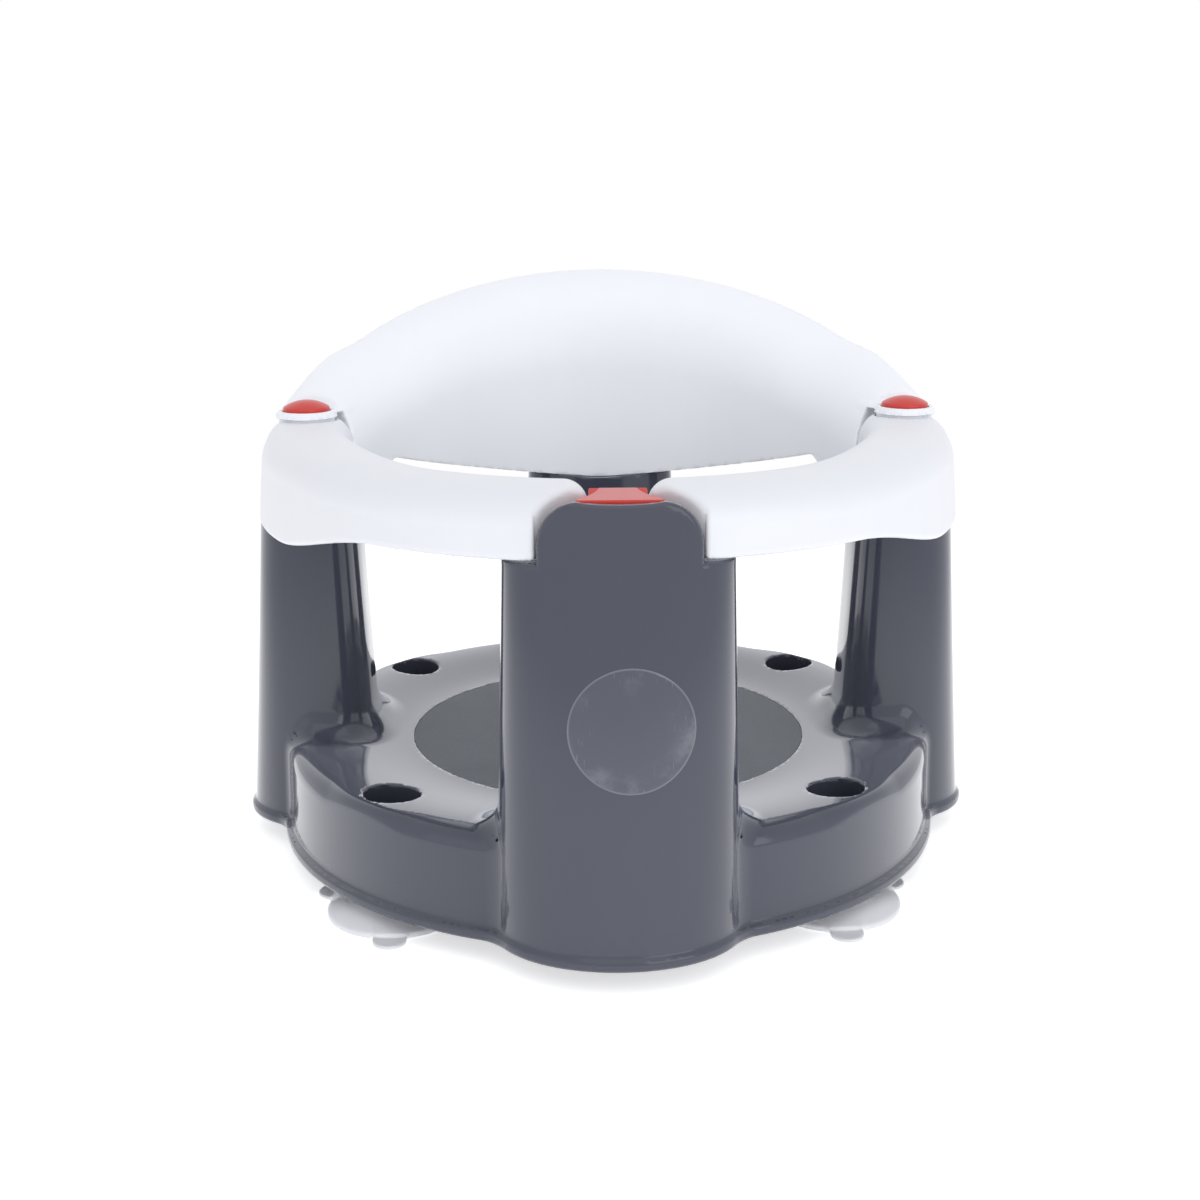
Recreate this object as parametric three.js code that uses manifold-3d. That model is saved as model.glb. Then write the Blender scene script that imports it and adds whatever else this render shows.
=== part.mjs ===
// A baby bath seat: a grey base with four hollow columns, a white backrest, two guard arms that
// swing open, a press latch between their tips and four suction cups.
// Millimetres, +Z up, the seat faces -Y, and the floor is the plane z = 0.
import * as THREE from 'three';
import * as BufferGeometryUtils from 'three/addons/utils/BufferGeometryUtils.js';
import Module from 'manifold-3d';

const wasm = await Module();
wasm.setup();

// Fits and walls
const gap = 0.35;
const wall = 2.6;
const postWall = 1.8;
const screwRadius = 1.6;
const screwClearance = 0.4;
const screwHeadRadius = 3.1;
const screwHeadHeight = 2.4;
const bossRadius = 4.3;

// Base moulding
const baseLift = 10;
const lipHeight = 5;
const lipProud = 3.4;
const columnLipProud = 2;
const footRadius = 179.8;
const lobeInset = 22.8;
const lobeDraft = 1.1;
const lobeTopRadius = footRadius - lobeInset;
const lobeFootRadius = lobeTopRadius + lobeDraft;
const crestRadius = 9;
const deckHeight = 57;
const dishDepth = 4.7;
const dishHeight = deckHeight - dishDepth;
const dishRimInset = 39;
const dishRimDrop = 3;
const deckRimInset = 24;
const deckRimDrop = 0.8;
const filletRadius = 14;
const footDraft = 0.0745;
const columnDepth = 65;
const innerFaceRadius = footRadius - columnDepth;
const innerDraft = 0.045;
const widthDraft = 0.029;
const columnNose = 37.8;
const sectionCentre = footRadius - columnNose;

// Columns: half width at the foot, height and place
const frontHalfWidth = 52;
const rearHalfWidth = 44.6;
const sideHalfWidth = 34.5;
const shoulderHeight = 176.8;
const rearDrop = 19.8;
const rearHeight = shoulderHeight - rearDrop;
const rearSaddle = 5;
const sideDrop = 10.3;
const sideHeight = shoulderHeight - sideDrop;
const sideOffset = 12;

// Arched plate, tower and latch on the front column
const archHeight = 25.2;
const archHalfWidth = 33.2;
const archCornerWidth = 17;
const archCornerHeight = 18.5;
const archThickness = 3;
const notchWidth = 3.6;
const notchDepth = 1.6;
const towerHalfWidth = 11.4;
const towerInset = 21.8;
const towerDepth = 25;
const towerFront = footRadius - towerInset;
const towerBack = towerFront - towerDepth;
const latchThickness = 5.4;
const latchRise = 0.4;
const latchTravel = 4;
const latchFrontHalf = 17.5;
const latchBackHalf = 11.7;
const latchStepRadius = 4.5;
const latchStepDepth = 1.6;
const latchBlockLow = 2;
const carrierDrop = 18;
const carrierThickness = 3;
const carrierHalfLength = 26;
const carrierHalfWidth = 9;
const carrierScrewX = 20;
const carrierScrewReach = 10;
const rearScrewX = 22;
const rearScrewInset = 17.8;
const sideScrewOut = 1;
const sideScrewY = 34.8;
const backScrewReach = 12;
const backBossHeight = 15;
const padHalfWidth = 9;
const sidePadHalf = 13.5;
const padDepth = 5;

// Seat mat
const matInset = 18.1;
const matRadius = innerFaceRadius - matInset;
const matThickness = 1.5;

// Wells and suction cups
const frontWellInset = 18.7;
const frontWellAngle = 44;
const rearWellInset = 15.5;
const rearWellAngle = 42.7;
const wellRadius = 12.6;
const wellFloor = 3;
const cupRadius = 31;
const cupEdge = 2.4;
const cupHubRadius = 9;
const cupHubHeight = 15.6;
const cupNeckRadius = 4.6;
const cupKnobRadius = 6.4;
const cupKnobHeight = 6;
const cupRim = 1.5;
const cupHollow = 5.6;
const cupCrown = 5.4;
const cupTabLift = 0.3;
const cupTabLength = 11;
const cupTabWidth = 15;

// Ring of arms and backrest
const ringInset = 14;
const ringOuter = footRadius - ringInset;
const ringDraft = 2.2;
const ringWidth = 41.8;
const ringInner = ringOuter - ringWidth;
const armDepth = 28.7;
const armTop = shoulderHeight + armDepth;
const tipHalfGap = 12.4;
const tipRound = 16;
const tipCrown = 9.5;
const knuckleRadius = 21.8;
const pivotX = ringOuter - knuckleRadius;
const pivotY = 4;
const knuckleRise = 4.1;
const knuckleTop = armTop + knuckleRise;
const knuckleShoulder = 11;
const knuckleDrop = 15;
const knuckleRecess = 3.2;
const hubRadius = 13;
const backHeight = 111.6;
const backTop = rearHeight + backHeight;
const backTilt = 82;
const backEndRise = 7.4;
const backEndTop = knuckleTop + backEndRise;
const backEndSlope = 0.68;
const backEdgeRise = 19.4;
const endAngle = 82;

// Hinge post, collar and button
const postRadius = 8;
const tonguePlateRadius = 14.6;
const tonguePlateThickness = 2;
const collarRadius = 13.7;
const collarHeight = 1.5;
const buttonRadius = 11.1;
const buttonRim = 2.2;
const buttonProud = 1.4;
const buttonDome = 3.4;
const buttonTravel = 3;
const buttonStemRadius = 3.2;
const lockPinRadius = 1.2;
const lockPinDrop = 13.1;
const lockPinHeight = knuckleTop - lockPinDrop;
const pinClearance = 0.2;
const springLength = 12.5;
const springSeat = lockPinHeight - springLength;
const springFloor = 8;
const hingeScrewReach = 13;
const washerRadius = 12;
const washerThickness = 1.6;
const grooveMargin = 2.4;

// Springs
const buttonSpringRadius = 4.7;
const latchSpringRadius = 5;
const springWire = 0.9;
const springCurls = 4;
const springStub = 4;
const stepsPerCurl = 7;

// Facets of large, middling and small round shapes
const largeRound = 44;
const middleRound = 18;
const smallRound = 8;
const sectionPoints = 22;
const hollowPoints = 18;
const knuckleRound = 24;

// Facets that differ from their neighbours by less than this are joined
const fineness = 0.06;

// How far a cutting shape runs past the face that it cuts, and a height above the whole seat
const past = 1;
const sky = backTop + 30;

const degrees = Math.PI / 180;
const screwHole = screwRadius + screwClearance;
const recessRadius = collarRadius + gap;
const shoulderTop = shoulderHeight + archHeight;

function material(colour, roughness, metalness = 0) {
  return new THREE.MeshStandardMaterial({ color: colour, roughness, metalness });
}

const greyGloss = material(0x62656f, 0.18);
const matGrey = material(0x70747a, 0.75);
const whiteGloss = material(0xf0f2f6, 0.3);
const redGloss = material(0xc8322d, 0.35);
const clearSoft = material(0xdfe2e4, 0.45);
const innerGrey = material(0x8b8f98, 0.5);
const steel = material(0xb9bcc0, 0.3, 0.9);

// Signed volume of a triangle list: negative when its faces point inwards
function signedVolume(at, faces) {
  let sum = 0;
  const corner = [new THREE.Vector3(), new THREE.Vector3(), new THREE.Vector3()];
  for (let i = 0; i < faces.length; i += 3) {
    corner.forEach((point, k) => point.fromArray(at, 3 * faces[i + k]));
    sum += corner[0].dot(corner[1].clone().cross(corner[2]));
  }
  return sum;
}

function solid(geometry) {
  const bare = geometry.clone();
  bare.deleteAttribute('normal');
  bare.deleteAttribute('uv');
  const merged = BufferGeometryUtils.mergeVertices(bare, 1e-4);
  const at = merged.getAttribute('position').array;
  const corners = merged.index.array;
  const faces = [];
  for (let i = 0; i < corners.length; i += 3) {
    const [a, b, c] = [corners[i], corners[i + 1], corners[i + 2]];
    if (a !== b && b !== c && c !== a) faces.push(a, b, c);
  }
  if (signedVolume(at, faces) < 0) faces.reverse();
  return new wasm.Manifold(new wasm.Mesh({
    numProp: 3, vertProperties: Float32Array.from(at), triVerts: Uint32Array.from(faces),
  }));
}

function union(first, ...others) {
  return others.reduce((sum, next) => sum.add(next), first);
}

function cut(first, ...others) {
  return others.reduce((rest, next) => rest.subtract(next), first);
}

// A closed solid through rings of points that all have the same count
function loft(rings) {
  const count = rings[0].length;
  const positions = rings.flat().flatMap((p) => [p.x, p.y, p.z]);
  const indices = [];
  for (let i = 0; i + 1 < rings.length; i += 1) {
    for (let j = 0; j < count; j += 1) {
      const k = (j + 1) % count;
      const low = i * count;
      const high = low + count;
      indices.push(low + j, low + k, high + k, low + j, high + k, high + j);
    }
  }
  [[0, true], [rings.length - 1, false]].forEach(([ring, flip]) => {
    const centre = new THREE.Vector3();
    rings[ring].forEach((p) => centre.addScaledVector(p, 1 / count));
    const hub = positions.length / 3;
    positions.push(centre.x, centre.y, centre.z);
    for (let j = 0; j < count; j += 1) {
      const a = ring * count + j;
      const b = ring * count + ((j + 1) % count);
      indices.push(hub, flip ? b : a, flip ? a : b);
    }
  });
  const geometry = new THREE.BufferGeometry();
  geometry.setAttribute('position', new THREE.Float32BufferAttribute(positions, 3));
  geometry.setIndex(indices);
  return solid(geometry);
}

// A profile of [radius, height] pairs turned about the Z axis
function revolve(profile, segments) {
  const points = profile.map(([r, z]) => new THREE.Vector2(r, z));
  return solid(new THREE.LatheGeometry(points, segments).rotateX(Math.PI / 2));
}

function rod(radius, low, high, segments = middleRound) {
  return revolve([[0, low], [radius, low], [radius, high], [0, high]], segments);
}

function box(x0, x1, y0, y1, z0, z1) {
  const geometry = new THREE.BoxGeometry(x1 - x0, y1 - y0, z1 - z0);
  geometry.translate((x0 + x1) / 2, (y0 + y1) / 2, (z0 + z1) / 2);
  return solid(geometry);
}

// The lower of two values first
function ordered(a, b) {
  return [Math.min(a, b), Math.max(a, b)];
}

// A plan outline of [x, y] pairs raised from one height to another
function prism(outline, low, high) {
  const shape = new THREE.Shape(outline.map(([x, y]) => new THREE.Vector2(x, y)));
  const geometry = new THREE.ExtrudeGeometry(shape, { depth: high - low, bevelEnabled: false });
  return solid(geometry.translate(0, 0, low));
}

const group = new THREE.Group();

function add(name, body, look, x = 0, y = 0) {
  const made = body.simplify(fineness).getMesh();
  const geometry = new THREE.BufferGeometry();
  geometry.setAttribute('position', new THREE.BufferAttribute(made.vertProperties, 3));
  geometry.setIndex(new THREE.BufferAttribute(made.triVerts, 1));
  geometry.computeVertexNormals();
  const piece = new THREE.Mesh(geometry, look);
  piece.name = name;
  piece.position.set(x, y, 0);
  group.add(piece);
}

// Columns: each section is half an oval outwards and half a squarer oval inwards
const lipTop = baseLift + lipHeight;
const columns = [
  { name: 'front', angle: -90, half: frontHalfWidth, top: shoulderHeight, offset: 0 },
  { name: 'rear', angle: 90, half: rearHalfWidth, top: rearHeight + rearSaddle, offset: 0 },
  { name: 'left', angle: 180, half: sideHalfWidth, top: sideHeight, offset: -sideOffset },
  { name: 'right', angle: 0, half: sideHalfWidth, top: sideHeight, offset: sideOffset },
];

function columnOuter(z) {
  return footRadius - footDraft * (z - lipTop);
}

function columnInner(z) {
  return innerFaceRadius + innerDraft * (z - lipTop);
}

function placed(column, tangent, reach, z) {
  const c = Math.cos(column.angle * degrees);
  const s = Math.sin(column.angle * degrees);
  const t = tangent + column.offset;
  return new THREE.Vector3(reach * c - t * s, reach * s + t * c, z);
}

function oval(angle, power) {
  const c = Math.cos(angle);
  const s = Math.sin(angle);
  return [Math.sign(c) * Math.abs(c) ** (2 / power), Math.sign(s) * Math.abs(s) ** (2 / power)];
}

function columnRing(column, z, grow, points = sectionPoints) {
  const half = column.half - widthDraft * (z - lipTop) + grow;
  const outer = columnOuter(z) + grow - sectionCentre;
  const inner = sectionCentre - columnInner(z) + grow;
  const squareness = 2 + 0.7 * (z - lipTop) / (shoulderHeight - lipTop);
  return Array.from({ length: points }, (_, i) => {
    const angle = (2 * Math.PI * i) / points;
    const outwards = Math.cos(angle) >= 0;
    const [c, s] = oval(angle, outwards ? squareness : 3);
    return placed(column, s * half, sectionCentre + c * (outwards ? outer : inner), z);
  });
}

function columnBody(column, top, grow, foot, points = sectionPoints) {
  const levels = [foot, 70, top];
  return loft(levels.map((z) => columnRing(column, z, grow, points)));
}

// The flare that leads the dish into the column
function columnFlare(column) {
  const steps = 3;
  const start = deckHeight - 4;
  const rings = [columnRing(column, start - 12, -wall)];
  for (let i = 0; i <= steps; i += 1) {
    const turn = (i / steps) * 90 * degrees;
    const z = start + filletRadius * (1 - Math.cos(turn));
    rings.push(columnRing(column, z, filletRadius * (1 - Math.sin(turn)) - 0.1));
  }
  return loft(rings).intersect(rod(lobeTopRadius - crestRadius / 2, baseLift, deckHeight + 40, largeRound));
}

const dishRimRadius = lobeTopRadius - dishRimInset;
const dishRimHeight = deckHeight - dishRimDrop;
const deckRimRadius = lobeTopRadius - deckRimInset;
const deckRimHeight = deckHeight - deckRimDrop;
const deckProfile = [
  [0, dishHeight - matThickness - gap], [matRadius + gap, dishHeight - matThickness - gap],
  [matRadius + gap, dishHeight], [dishRimRadius, dishRimHeight], [deckRimRadius, deckRimHeight],
];

function lobeProfile() {
  const edge = lobeTopRadius - crestRadius;
  const crest = [0, 30, 60, 90].map((turn) => [
    edge + crestRadius * Math.sin(turn * degrees),
    deckHeight - crestRadius * (1 - Math.cos(turn * degrees)),
  ]);
  const lip = [[lobeFootRadius, lipTop], [lobeFootRadius + lipProud, lipTop],
    [lobeFootRadius + lipProud, baseLift], [0, baseLift]];
  return [...deckProfile, ...crest, ...lip];
}

function lobeCore() {
  const under = dishHeight - matThickness - gap - wall;
  return revolve([
    [0, under], [matRadius + gap + wall, under], [dishRimRadius, dishRimHeight - wall],
    [deckRimRadius, deckRimHeight - wall],
    [lobeTopRadius - crestRadius, deckHeight - wall],
    [lobeTopRadius - crestRadius / 2, deckHeight - crestRadius / 2 - wall],
    [lobeTopRadius - wall, deckHeight - crestRadius - wall],
    [lobeFootRadius - wall, lipTop], [lobeFootRadius - wall, baseLift - 1], [0, baseLift - 1],
  ], 2 * middleRound);
}

// The outline of the arched plate, seen from the front
function archShape() {
  const half = archHalfWidth;
  const corner = half - archCornerWidth;
  const low = shoulderHeight - wall;
  const spring = shoulderTop - archCornerHeight;
  const shape = new THREE.Shape();
  shape.moveTo(-half, low);
  shape.lineTo(half, low);
  shape.absellipse(corner, spring, archCornerWidth, archCornerHeight, 0, Math.PI / 2, false, 0);
  shape.absellipse(-corner, spring, archCornerWidth, archCornerHeight, Math.PI / 2, Math.PI, false, 0);
  shape.lineTo(-half, low);
  return shape;
}

// The arch as a block that reaches from one distance in front of the centre to another
function archBlock(near, far) {
  const geometry = new THREE.ExtrudeGeometry(archShape(), {
    depth: far - near, bevelEnabled: false, curveSegments: 6,
  });
  return solid(geometry.rotateX(Math.PI / 2).translate(0, -near, 0));
}

const front = columns[0];

function archPlate() {
  const full = columnBody(front, shoulderTop + 1, 0, shoulderHeight - 20);
  const behind = columnBody(front, shoulderTop + 2, -archThickness, shoulderHeight - 21);
  return archBlock(sectionCentre, footRadius).intersect(cut(full, behind));
}

// Small notches in the shoulders beside the plate, where the arm tips drain
function shoulderNotches() {
  return [-1, 1].map((side) => {
    const [inner, outer] = ordered(side * archHalfWidth, side * (archHalfWidth + notchWidth));
    return box(inner, outer, -footRadius, -sectionCentre - filletRadius / 2,
      shoulderHeight - notchDepth, shoulderHeight + past);
  });
}

const towerTop = shoulderTop + latchRise - latchThickness - latchTravel - gap;
const stemHalf = towerHalfWidth - postWall - gap;

function tower() {
  return box(-towerHalfWidth, towerHalfWidth, -towerFront, -towerBack, shoulderHeight - wall, towerTop);
}

function towerOpening() {
  const inset = postWall;
  return box(-towerHalfWidth + inset, towerHalfWidth - inset, -towerFront + inset, -towerBack - inset,
    shoulderHeight - wall - 1, towerTop + 1);
}

// Latch carrier and its bosses inside the front column
const carrierTop = shoulderHeight - carrierDrop;
const carrierScrewY = -(towerFront + towerBack) / 2;

function carrierBosses() {
  return [-1, 1].map((side) => rod(bossRadius, carrierTop + gap, shoulderHeight - wall / 2, smallRound)
    .subtract(rod(screwHole, carrierTop - past, shoulderHeight - 2 * wall, smallRound))
    .translate([side * carrierScrewX, carrierScrewY, 0]));
}

// Where the backrest is screwed down: two on the rear column and one on each side column
const backScrews = [
  { name: 'rear_left', x: -rearScrewX, y: ringOuter - rearScrewInset, z: rearHeight },
  { name: 'rear_right', x: rearScrewX, y: ringOuter - rearScrewInset, z: rearHeight },
  { name: 'side_left', x: -pivotX - sideScrewOut, y: sideScrewY, z: sideHeight },
  { name: 'side_right', x: pivotX + sideScrewOut, y: sideScrewY, z: sideHeight },
];

// Each well's distance and turn from the side, and the turn of its cup's first tab
const wells = [
  { name: 'front_left', inset: frontWellInset, angle: 180 + frontWellAngle, turn: -90 },
  { name: 'front_right', inset: frontWellInset, angle: -frontWellAngle, turn: -88 },
  { name: 'rear_left', inset: rearWellInset, angle: 180 - rearWellAngle, turn: 100 },
  { name: 'rear_right', inset: rearWellInset, angle: rearWellAngle, turn: 60 },
].map((well) => ({
  ...well,
  x: (lobeTopRadius - well.inset) * Math.cos(well.angle * degrees),
  y: (lobeTopRadius - well.inset) * Math.sin(well.angle * degrees),
}));
const wellBottom = cupHubHeight + gap;

// The rear column's top follows the backrest's lower edge: what is above that edge is cut away
function saddled(column, body, depth) {
  if (column.name !== 'rear') return body;
  const above = backStations(24, 8).map((s) => ({
    ...s,
    inner: innerFaceRadius - wall,
    outer: footRadius + wall,
    crest: sectionCentre,
    low: s.low - gap - depth,
  }));
  return body.subtract(ringLoft(above, 0, 0));
}

function makeBase() {
  const lobes = revolve(lobeProfile(), largeRound);
  const feet = columns.map((column) => loft([
    columnRing(column, baseLift, columnLipProud), columnRing(column, lipTop, columnLipProud),
  ]));
  const bodies = columns.map((column) => saddled(column, columnBody(column, column.top, 0, baseLift), 0));
  const flares = columns.map(columnFlare);
  const outside = union(lobes, ...feet, ...bodies, ...flares);
  const hollows = columns.map((column) => (
    saddled(column, columnBody(column, column.top - wall, -wall, baseLift - 1, hollowPoints), wall)));
  let base = cut(outside, lobeCore(), ...hollows);
  const tubes = wells.map((well) => rod(wellRadius + wall, wellBottom, deckHeight)
    .translate([well.x, well.y, 0]).intersect(outside));
  base = union(base, ...tubes, archPlate(), tower(), ...carrierBosses());
  const bores = wells.flatMap((well) => [
    rod(wellRadius, wellBottom + wellFloor, deckHeight + filletRadius).translate([well.x, well.y, 0]),
    rod(cupNeckRadius + gap, baseLift, deckHeight).translate([well.x, well.y, 0]),
  ]);
  const postHoles = [-1, 1].map((side) => rod(postRadius + gap, sideHeight - 2 * wall, sideHeight + past)
    .translate([side * pivotX, pivotY, 0]));
  const screwHoles = backScrews.map(({ x, y, z }) => rod(screwHole, z - 2 * wall, z + 2 * wall, smallRound)
    .translate([x, y, 0]));
  return cut(base, towerOpening(), ...shoulderNotches(), ...bores, ...postHoles, ...screwHoles);
}

function makeMat() {
  const floor = dishHeight - matThickness;
  return revolve([[0, floor], [matRadius, floor], [matRadius, dishHeight - 0.4],
    [matRadius - 0.5, dishHeight], [0, dishHeight]], largeRound);
}

// The section of the ring: upright walls and a rolled top. Each row is [reach, height].
function rolledSection(s, inset) {
  const inner = s.inner + inset;
  const outer = s.outer - inset;
  const top = s.top - inset;
  const steps = 4;
  const points = [[inner, s.low]];
  for (let i = 0; i <= steps; i += 1) {
    const [c, h] = oval((i / steps) * 90 * degrees, s.power);
    points.push([s.crest - (s.crest - inner) * c, top - (s.innerRoll - inset) * (1 - h)]);
  }
  for (let i = 1; i <= steps; i += 1) {
    const [h, c] = oval((i / steps) * 90 * degrees, s.power);
    points.push([s.crest + (outer - s.crest) * c, top - (s.outerRoll - inset) * (1 - h)]);
  }
  points.push([outer + ringDraft, s.low]);
  return points;
}

function ringLoft(stations, inset, drop) {
  return loft(stations.map((s) => rolledSection({ ...s, low: s.low - drop }, inset)
    .map(([reach, z]) => new THREE.Vector3(
      reach * Math.cos(s.angle * degrees), reach * Math.sin(s.angle * degrees), z,
    ))));
}

function blend(value, from, to) {
  const t = Math.min(1, Math.max(0, (value - from) / (to - from)));
  return t * t * (3 - 2 * t);
}

function mix(a, b, t) {
  return a + (b - a) * t;
}

// Right arm: ring angles run from the hinge at about 0 to the front at -90 degrees
const tipAngle = -90 + Math.asin(tipHalfGap / ((ringInner + ringOuter) / 2)) / degrees;
const armLow = shoulderHeight + 2 * gap;
const heelLow = sideHeight + gap;

function pivot(side) {
  return [side * pivotX, pivotY, 0];
}

function armStations(first, last, count) {
  return Array.from({ length: count + 1 }, (_, i) => {
    const angle = mix(first, last, i / count);
    const away = -angle;
    const inner = mix(pivotX - knuckleRadius, ringInner, blend(away, 10, 75));
    return {
      angle,
      inner,
      outer: ringOuter - ringDraft,
      crest: mix(inner, ringOuter, 0.36),
      low: mix(heelLow, armLow, blend(away, 26.5, 52)),
      top: mix(knuckleTop, armTop, blend(away, 20, 55)),
      innerRoll: 10,
      outerRoll: 16,
      power: 2.3,
    };
  });
}

function knuckle(inset) {
  const radius = knuckleRadius - inset;
  const top = knuckleTop - inset;
  const flat = knuckleRadius - knuckleShoulder;
  const shoulder = [0, 30, 60, 90].map((turn) => [
    flat + (radius - flat) * Math.sin(turn * degrees),
    top - (knuckleDrop - inset) * (1 - Math.cos(turn * degrees)),
  ]);
  const low = heelLow - inset;
  return revolve([[0, top], ...shoulder, [radius, low], [0, low]], knuckleRound).translate(pivot(1));
}

// The thick middle of the knuckle: the hub and the ring round the recess for the collar's boss
function knuckleHub() {
  const rim = recessRadius + wall;
  return union(rod(hubRadius, heelLow, knuckleTop), rod(rim, knuckleTop - knuckleRecess - wall, knuckleTop));
}

// The tip behind the arched plate keeps inside a circle about the hinge, so that it can swing out
function tipCutter() {
  const halfClear = archHalfWidth + 2 * gap;
  const inner = columnRing(front, shoulderHeight, -archThickness);
  const corner = inner.reduce((best, p) => (
    p.y < -sectionCentre && Math.abs(Math.abs(p.x) - halfClear) < Math.abs(Math.abs(best.x) - halfClear)
      ? p : best), inner[0]);
  const reach = Math.hypot(pivotX - halfClear, pivotY - corner.y) - 2 * gap;
  const outline = [];
  const from = Math.acos((pivotX - halfClear) / reach);
  const to = Math.acos((pivotX - tipHalfGap + 4) / reach);
  for (let i = 0; i <= 6; i += 1) {
    const turn = mix(from, to, i / 6);
    outline.push([pivotX - reach * Math.cos(turn), pivotY - reach * Math.sin(turn)]);
  }
  const ahead = -footRadius - past;
  outline.push([-halfClear, outline[outline.length - 1][1]], [-halfClear, ahead], [halfClear, ahead]);
  return prism(outline, deckHeight, sky);
}

function tipRounding() {
  const x = tipHalfGap + tipRound;
  const y = -Math.sqrt(ringInner ** 2 - x ** 2) - tipRound;
  const corner = box(0, x, y, -sectionCentre / 2, deckHeight, sky);
  const upright = corner.subtract(rod(tipRound, deckHeight - past, sky + past).translate([x, y, 0]));
  const crownX = tipHalfGap + tipCrown;
  const crownZ = armTop - tipCrown;
  const edge = box(0, crownX, -footRadius, -sectionCentre / 2, crownZ, sky);
  const roll = rod(tipCrown, -footRadius, footRadius).rotate([90, 0, 0]).translate([crownX, 0, crownZ]);
  return union(upright, edge.subtract(roll));
}

function makeArm() {
  const before = box(0, 2 * footRadius, -2 * footRadius, pivotY, deckHeight, sky);
  const arc = ringLoft(armStations(0, tipAngle, 12), 0, 0).intersect(before);
  const core = ringLoft(armStations(0, tipAngle + 2.4, 8), wall, 2).intersect(before);
  const cutter = tipCutter();
  const thickened = union(cutter, cutter.translate([wall, wall, 0]), cutter.translate([0, wall, 0]));
  const hollow = union(core.subtract(thickened), knuckle(wall)).subtract(knuckleHub().translate(pivot(1)));
  const recess = rod(recessRadius, knuckleTop - knuckleRecess, sky);
  const bore = rod(postRadius + gap, heelLow - past, sky);
  const groove = rod(hubRadius - postWall, lockPinHeight - buttonTravel - grooveMargin,
    lockPinHeight + grooveMargin);
  const bores = union(recess, bore, groove).translate(pivot(1));
  return cut(union(arc, knuckle(0)), cutter, tipRounding(), hollow, bores);
}

// Backrest: ring angles run from the right side over the rear to the left side
function backLow(fromRear) {
  const middle = rearHeight + gap + backEdgeRise * (Math.min(fromRear, 62) / 54) ** 1.47;
  return mix(middle, heelLow, blend(fromRear, 60, 71));
}

function backStations(limit, count) {
  return Array.from({ length: count + 1 }, (_, i) => {
    const fromRear = mix(-limit, limit, i / count);
    const away = Math.abs(fromRear);
    const dome = backTop - backTilt * (1 - Math.cos(away * degrees));
    const slope = backEndTop + backEndSlope * (endAngle - away);
    const inner = mix(ringInner, pivotX - knuckleRadius, blend(away, 20, 75));
    return {
      angle: 90 - fromRear,
      inner,
      outer: ringOuter - ringDraft,
      crest: mix(ringOuter - 5, ringOuter - 20, blend(away, 58, 84)),
      low: backLow(away),
      top: mix(dome, slope, blend(away, 46, 62)),
      innerRoll: mix(52, 34, blend(away, 10, 75)),
      outerRoll: mix(8, 16, blend(away, 20, 76)),
      power: 2.2,
    };
  });
}

// The space that the swinging arm needs, grown by a given amount
function swingSpace(side, grow) {
  const reach = knuckleRadius + 2 * gap + grow;
  const out = side * footRadius;
  const ahead = -footRadius / 2;
  const round = rod(reach, deckHeight, sky, knuckleRound).translate(pivot(side));
  const beside = box(...ordered(side * pivotX, out), ahead, pivotY + reach, deckHeight, sky);
  const before = box(...ordered(0, out), ahead, pivotY, deckHeight, sky);
  return union(round, beside, before);
}

const tongueLow = knuckleTop + 2 * gap;
const tongueTop = tongueLow + tonguePlateThickness;
const collarTop = tongueTop + collarHeight;
const buttonUnder = collarTop + buttonProud - buttonRim;
const springTop = lockPinHeight - lockPinRadius - 1.5;

// A plate over the knuckle with the collar on it, the boss below it and the hinge post
function tongue(side, ring) {
  const plate = rod(tonguePlateRadius, tongueLow, tongueTop, knuckleRound);
  const collar = rod(collarRadius, tongueLow, collarTop, knuckleRound);
  const boss = rod(collarRadius - gap, knuckleTop - knuckleRecess + gap, tongueTop, knuckleRound);
  const post = rod(postRadius, sideHeight - wall + gap, tongueLow + 1);
  const web = box(...ordered(0, side * footRadius), pivotY + postWall, pivotY + knuckleRadius + wall,
    tongueLow, tongueTop).intersect(ring);
  return union(union(plate, collar, boss, post).translate(pivot(side)), web);
}

function tongueBores(side) {
  const counterbore = rod(buttonRadius + gap, buttonUnder - buttonTravel - gap, collarTop + 5, knuckleRound);
  const bore = rod(postRadius - postWall, springSeat, collarTop);
  const screw = rod(screwHole, sideHeight - 2 * wall, springSeat - springFloor, smallRound);
  const slotHalf = lockPinRadius + gap;
  const slot = box(-postRadius - 1, postRadius + 1, -slotHalf, slotHalf,
    lockPinHeight - lockPinRadius - buttonTravel - 2 * gap, lockPinHeight + lockPinRadius + 2 * gap);
  return [counterbore, bore, screw, slot].map((tool) => tool.translate(pivot(side)));
}

function makeBackrest() {
  const outside = ringLoft(backStations(endAngle + 5, 22), 0, 0);
  const core = ringLoft(backStations(endAngle + 5, 15), wall, 2);
  const shell = cut(outside, ...[-1, 1].map((side) => swingSpace(side, 0)));
  const hollow = cut(core, ...[-1, 1].map((side) => swingSpace(side, wall)));
  const pads = union(
    box(-rearScrewX - padHalfWidth, rearScrewX + padHalfWidth, ringInner + past, ringOuter - past,
      lipTop, rearHeight + padDepth + wall),
    ...[-1, 1].map((side) => box(side * pivotX - sidePadHalf, side * pivotX + sidePadHalf,
      pivotY + knuckleRadius, sideScrewY + padHalfWidth, lipTop, heelLow + padDepth)),
  );
  const bosses = backScrews.map(({ x, y, z }) => rod(bossRadius, z, z + backBossHeight, smallRound)
    .translate([x, y, 0]));
  const holes = backScrews.map(({ x, y, z }) => rod(screwHole, z - past, z + backScrewReach, smallRound)
    .translate([x, y, 0]));
  const filled = union(pads, ...bosses).intersect(shell);
  const back = union(shell.subtract(hollow), filled, tongue(-1, outside), tongue(1, outside));
  return cut(back, ...holes, ...tongueBores(-1), ...tongueBores(1));
}

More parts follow.
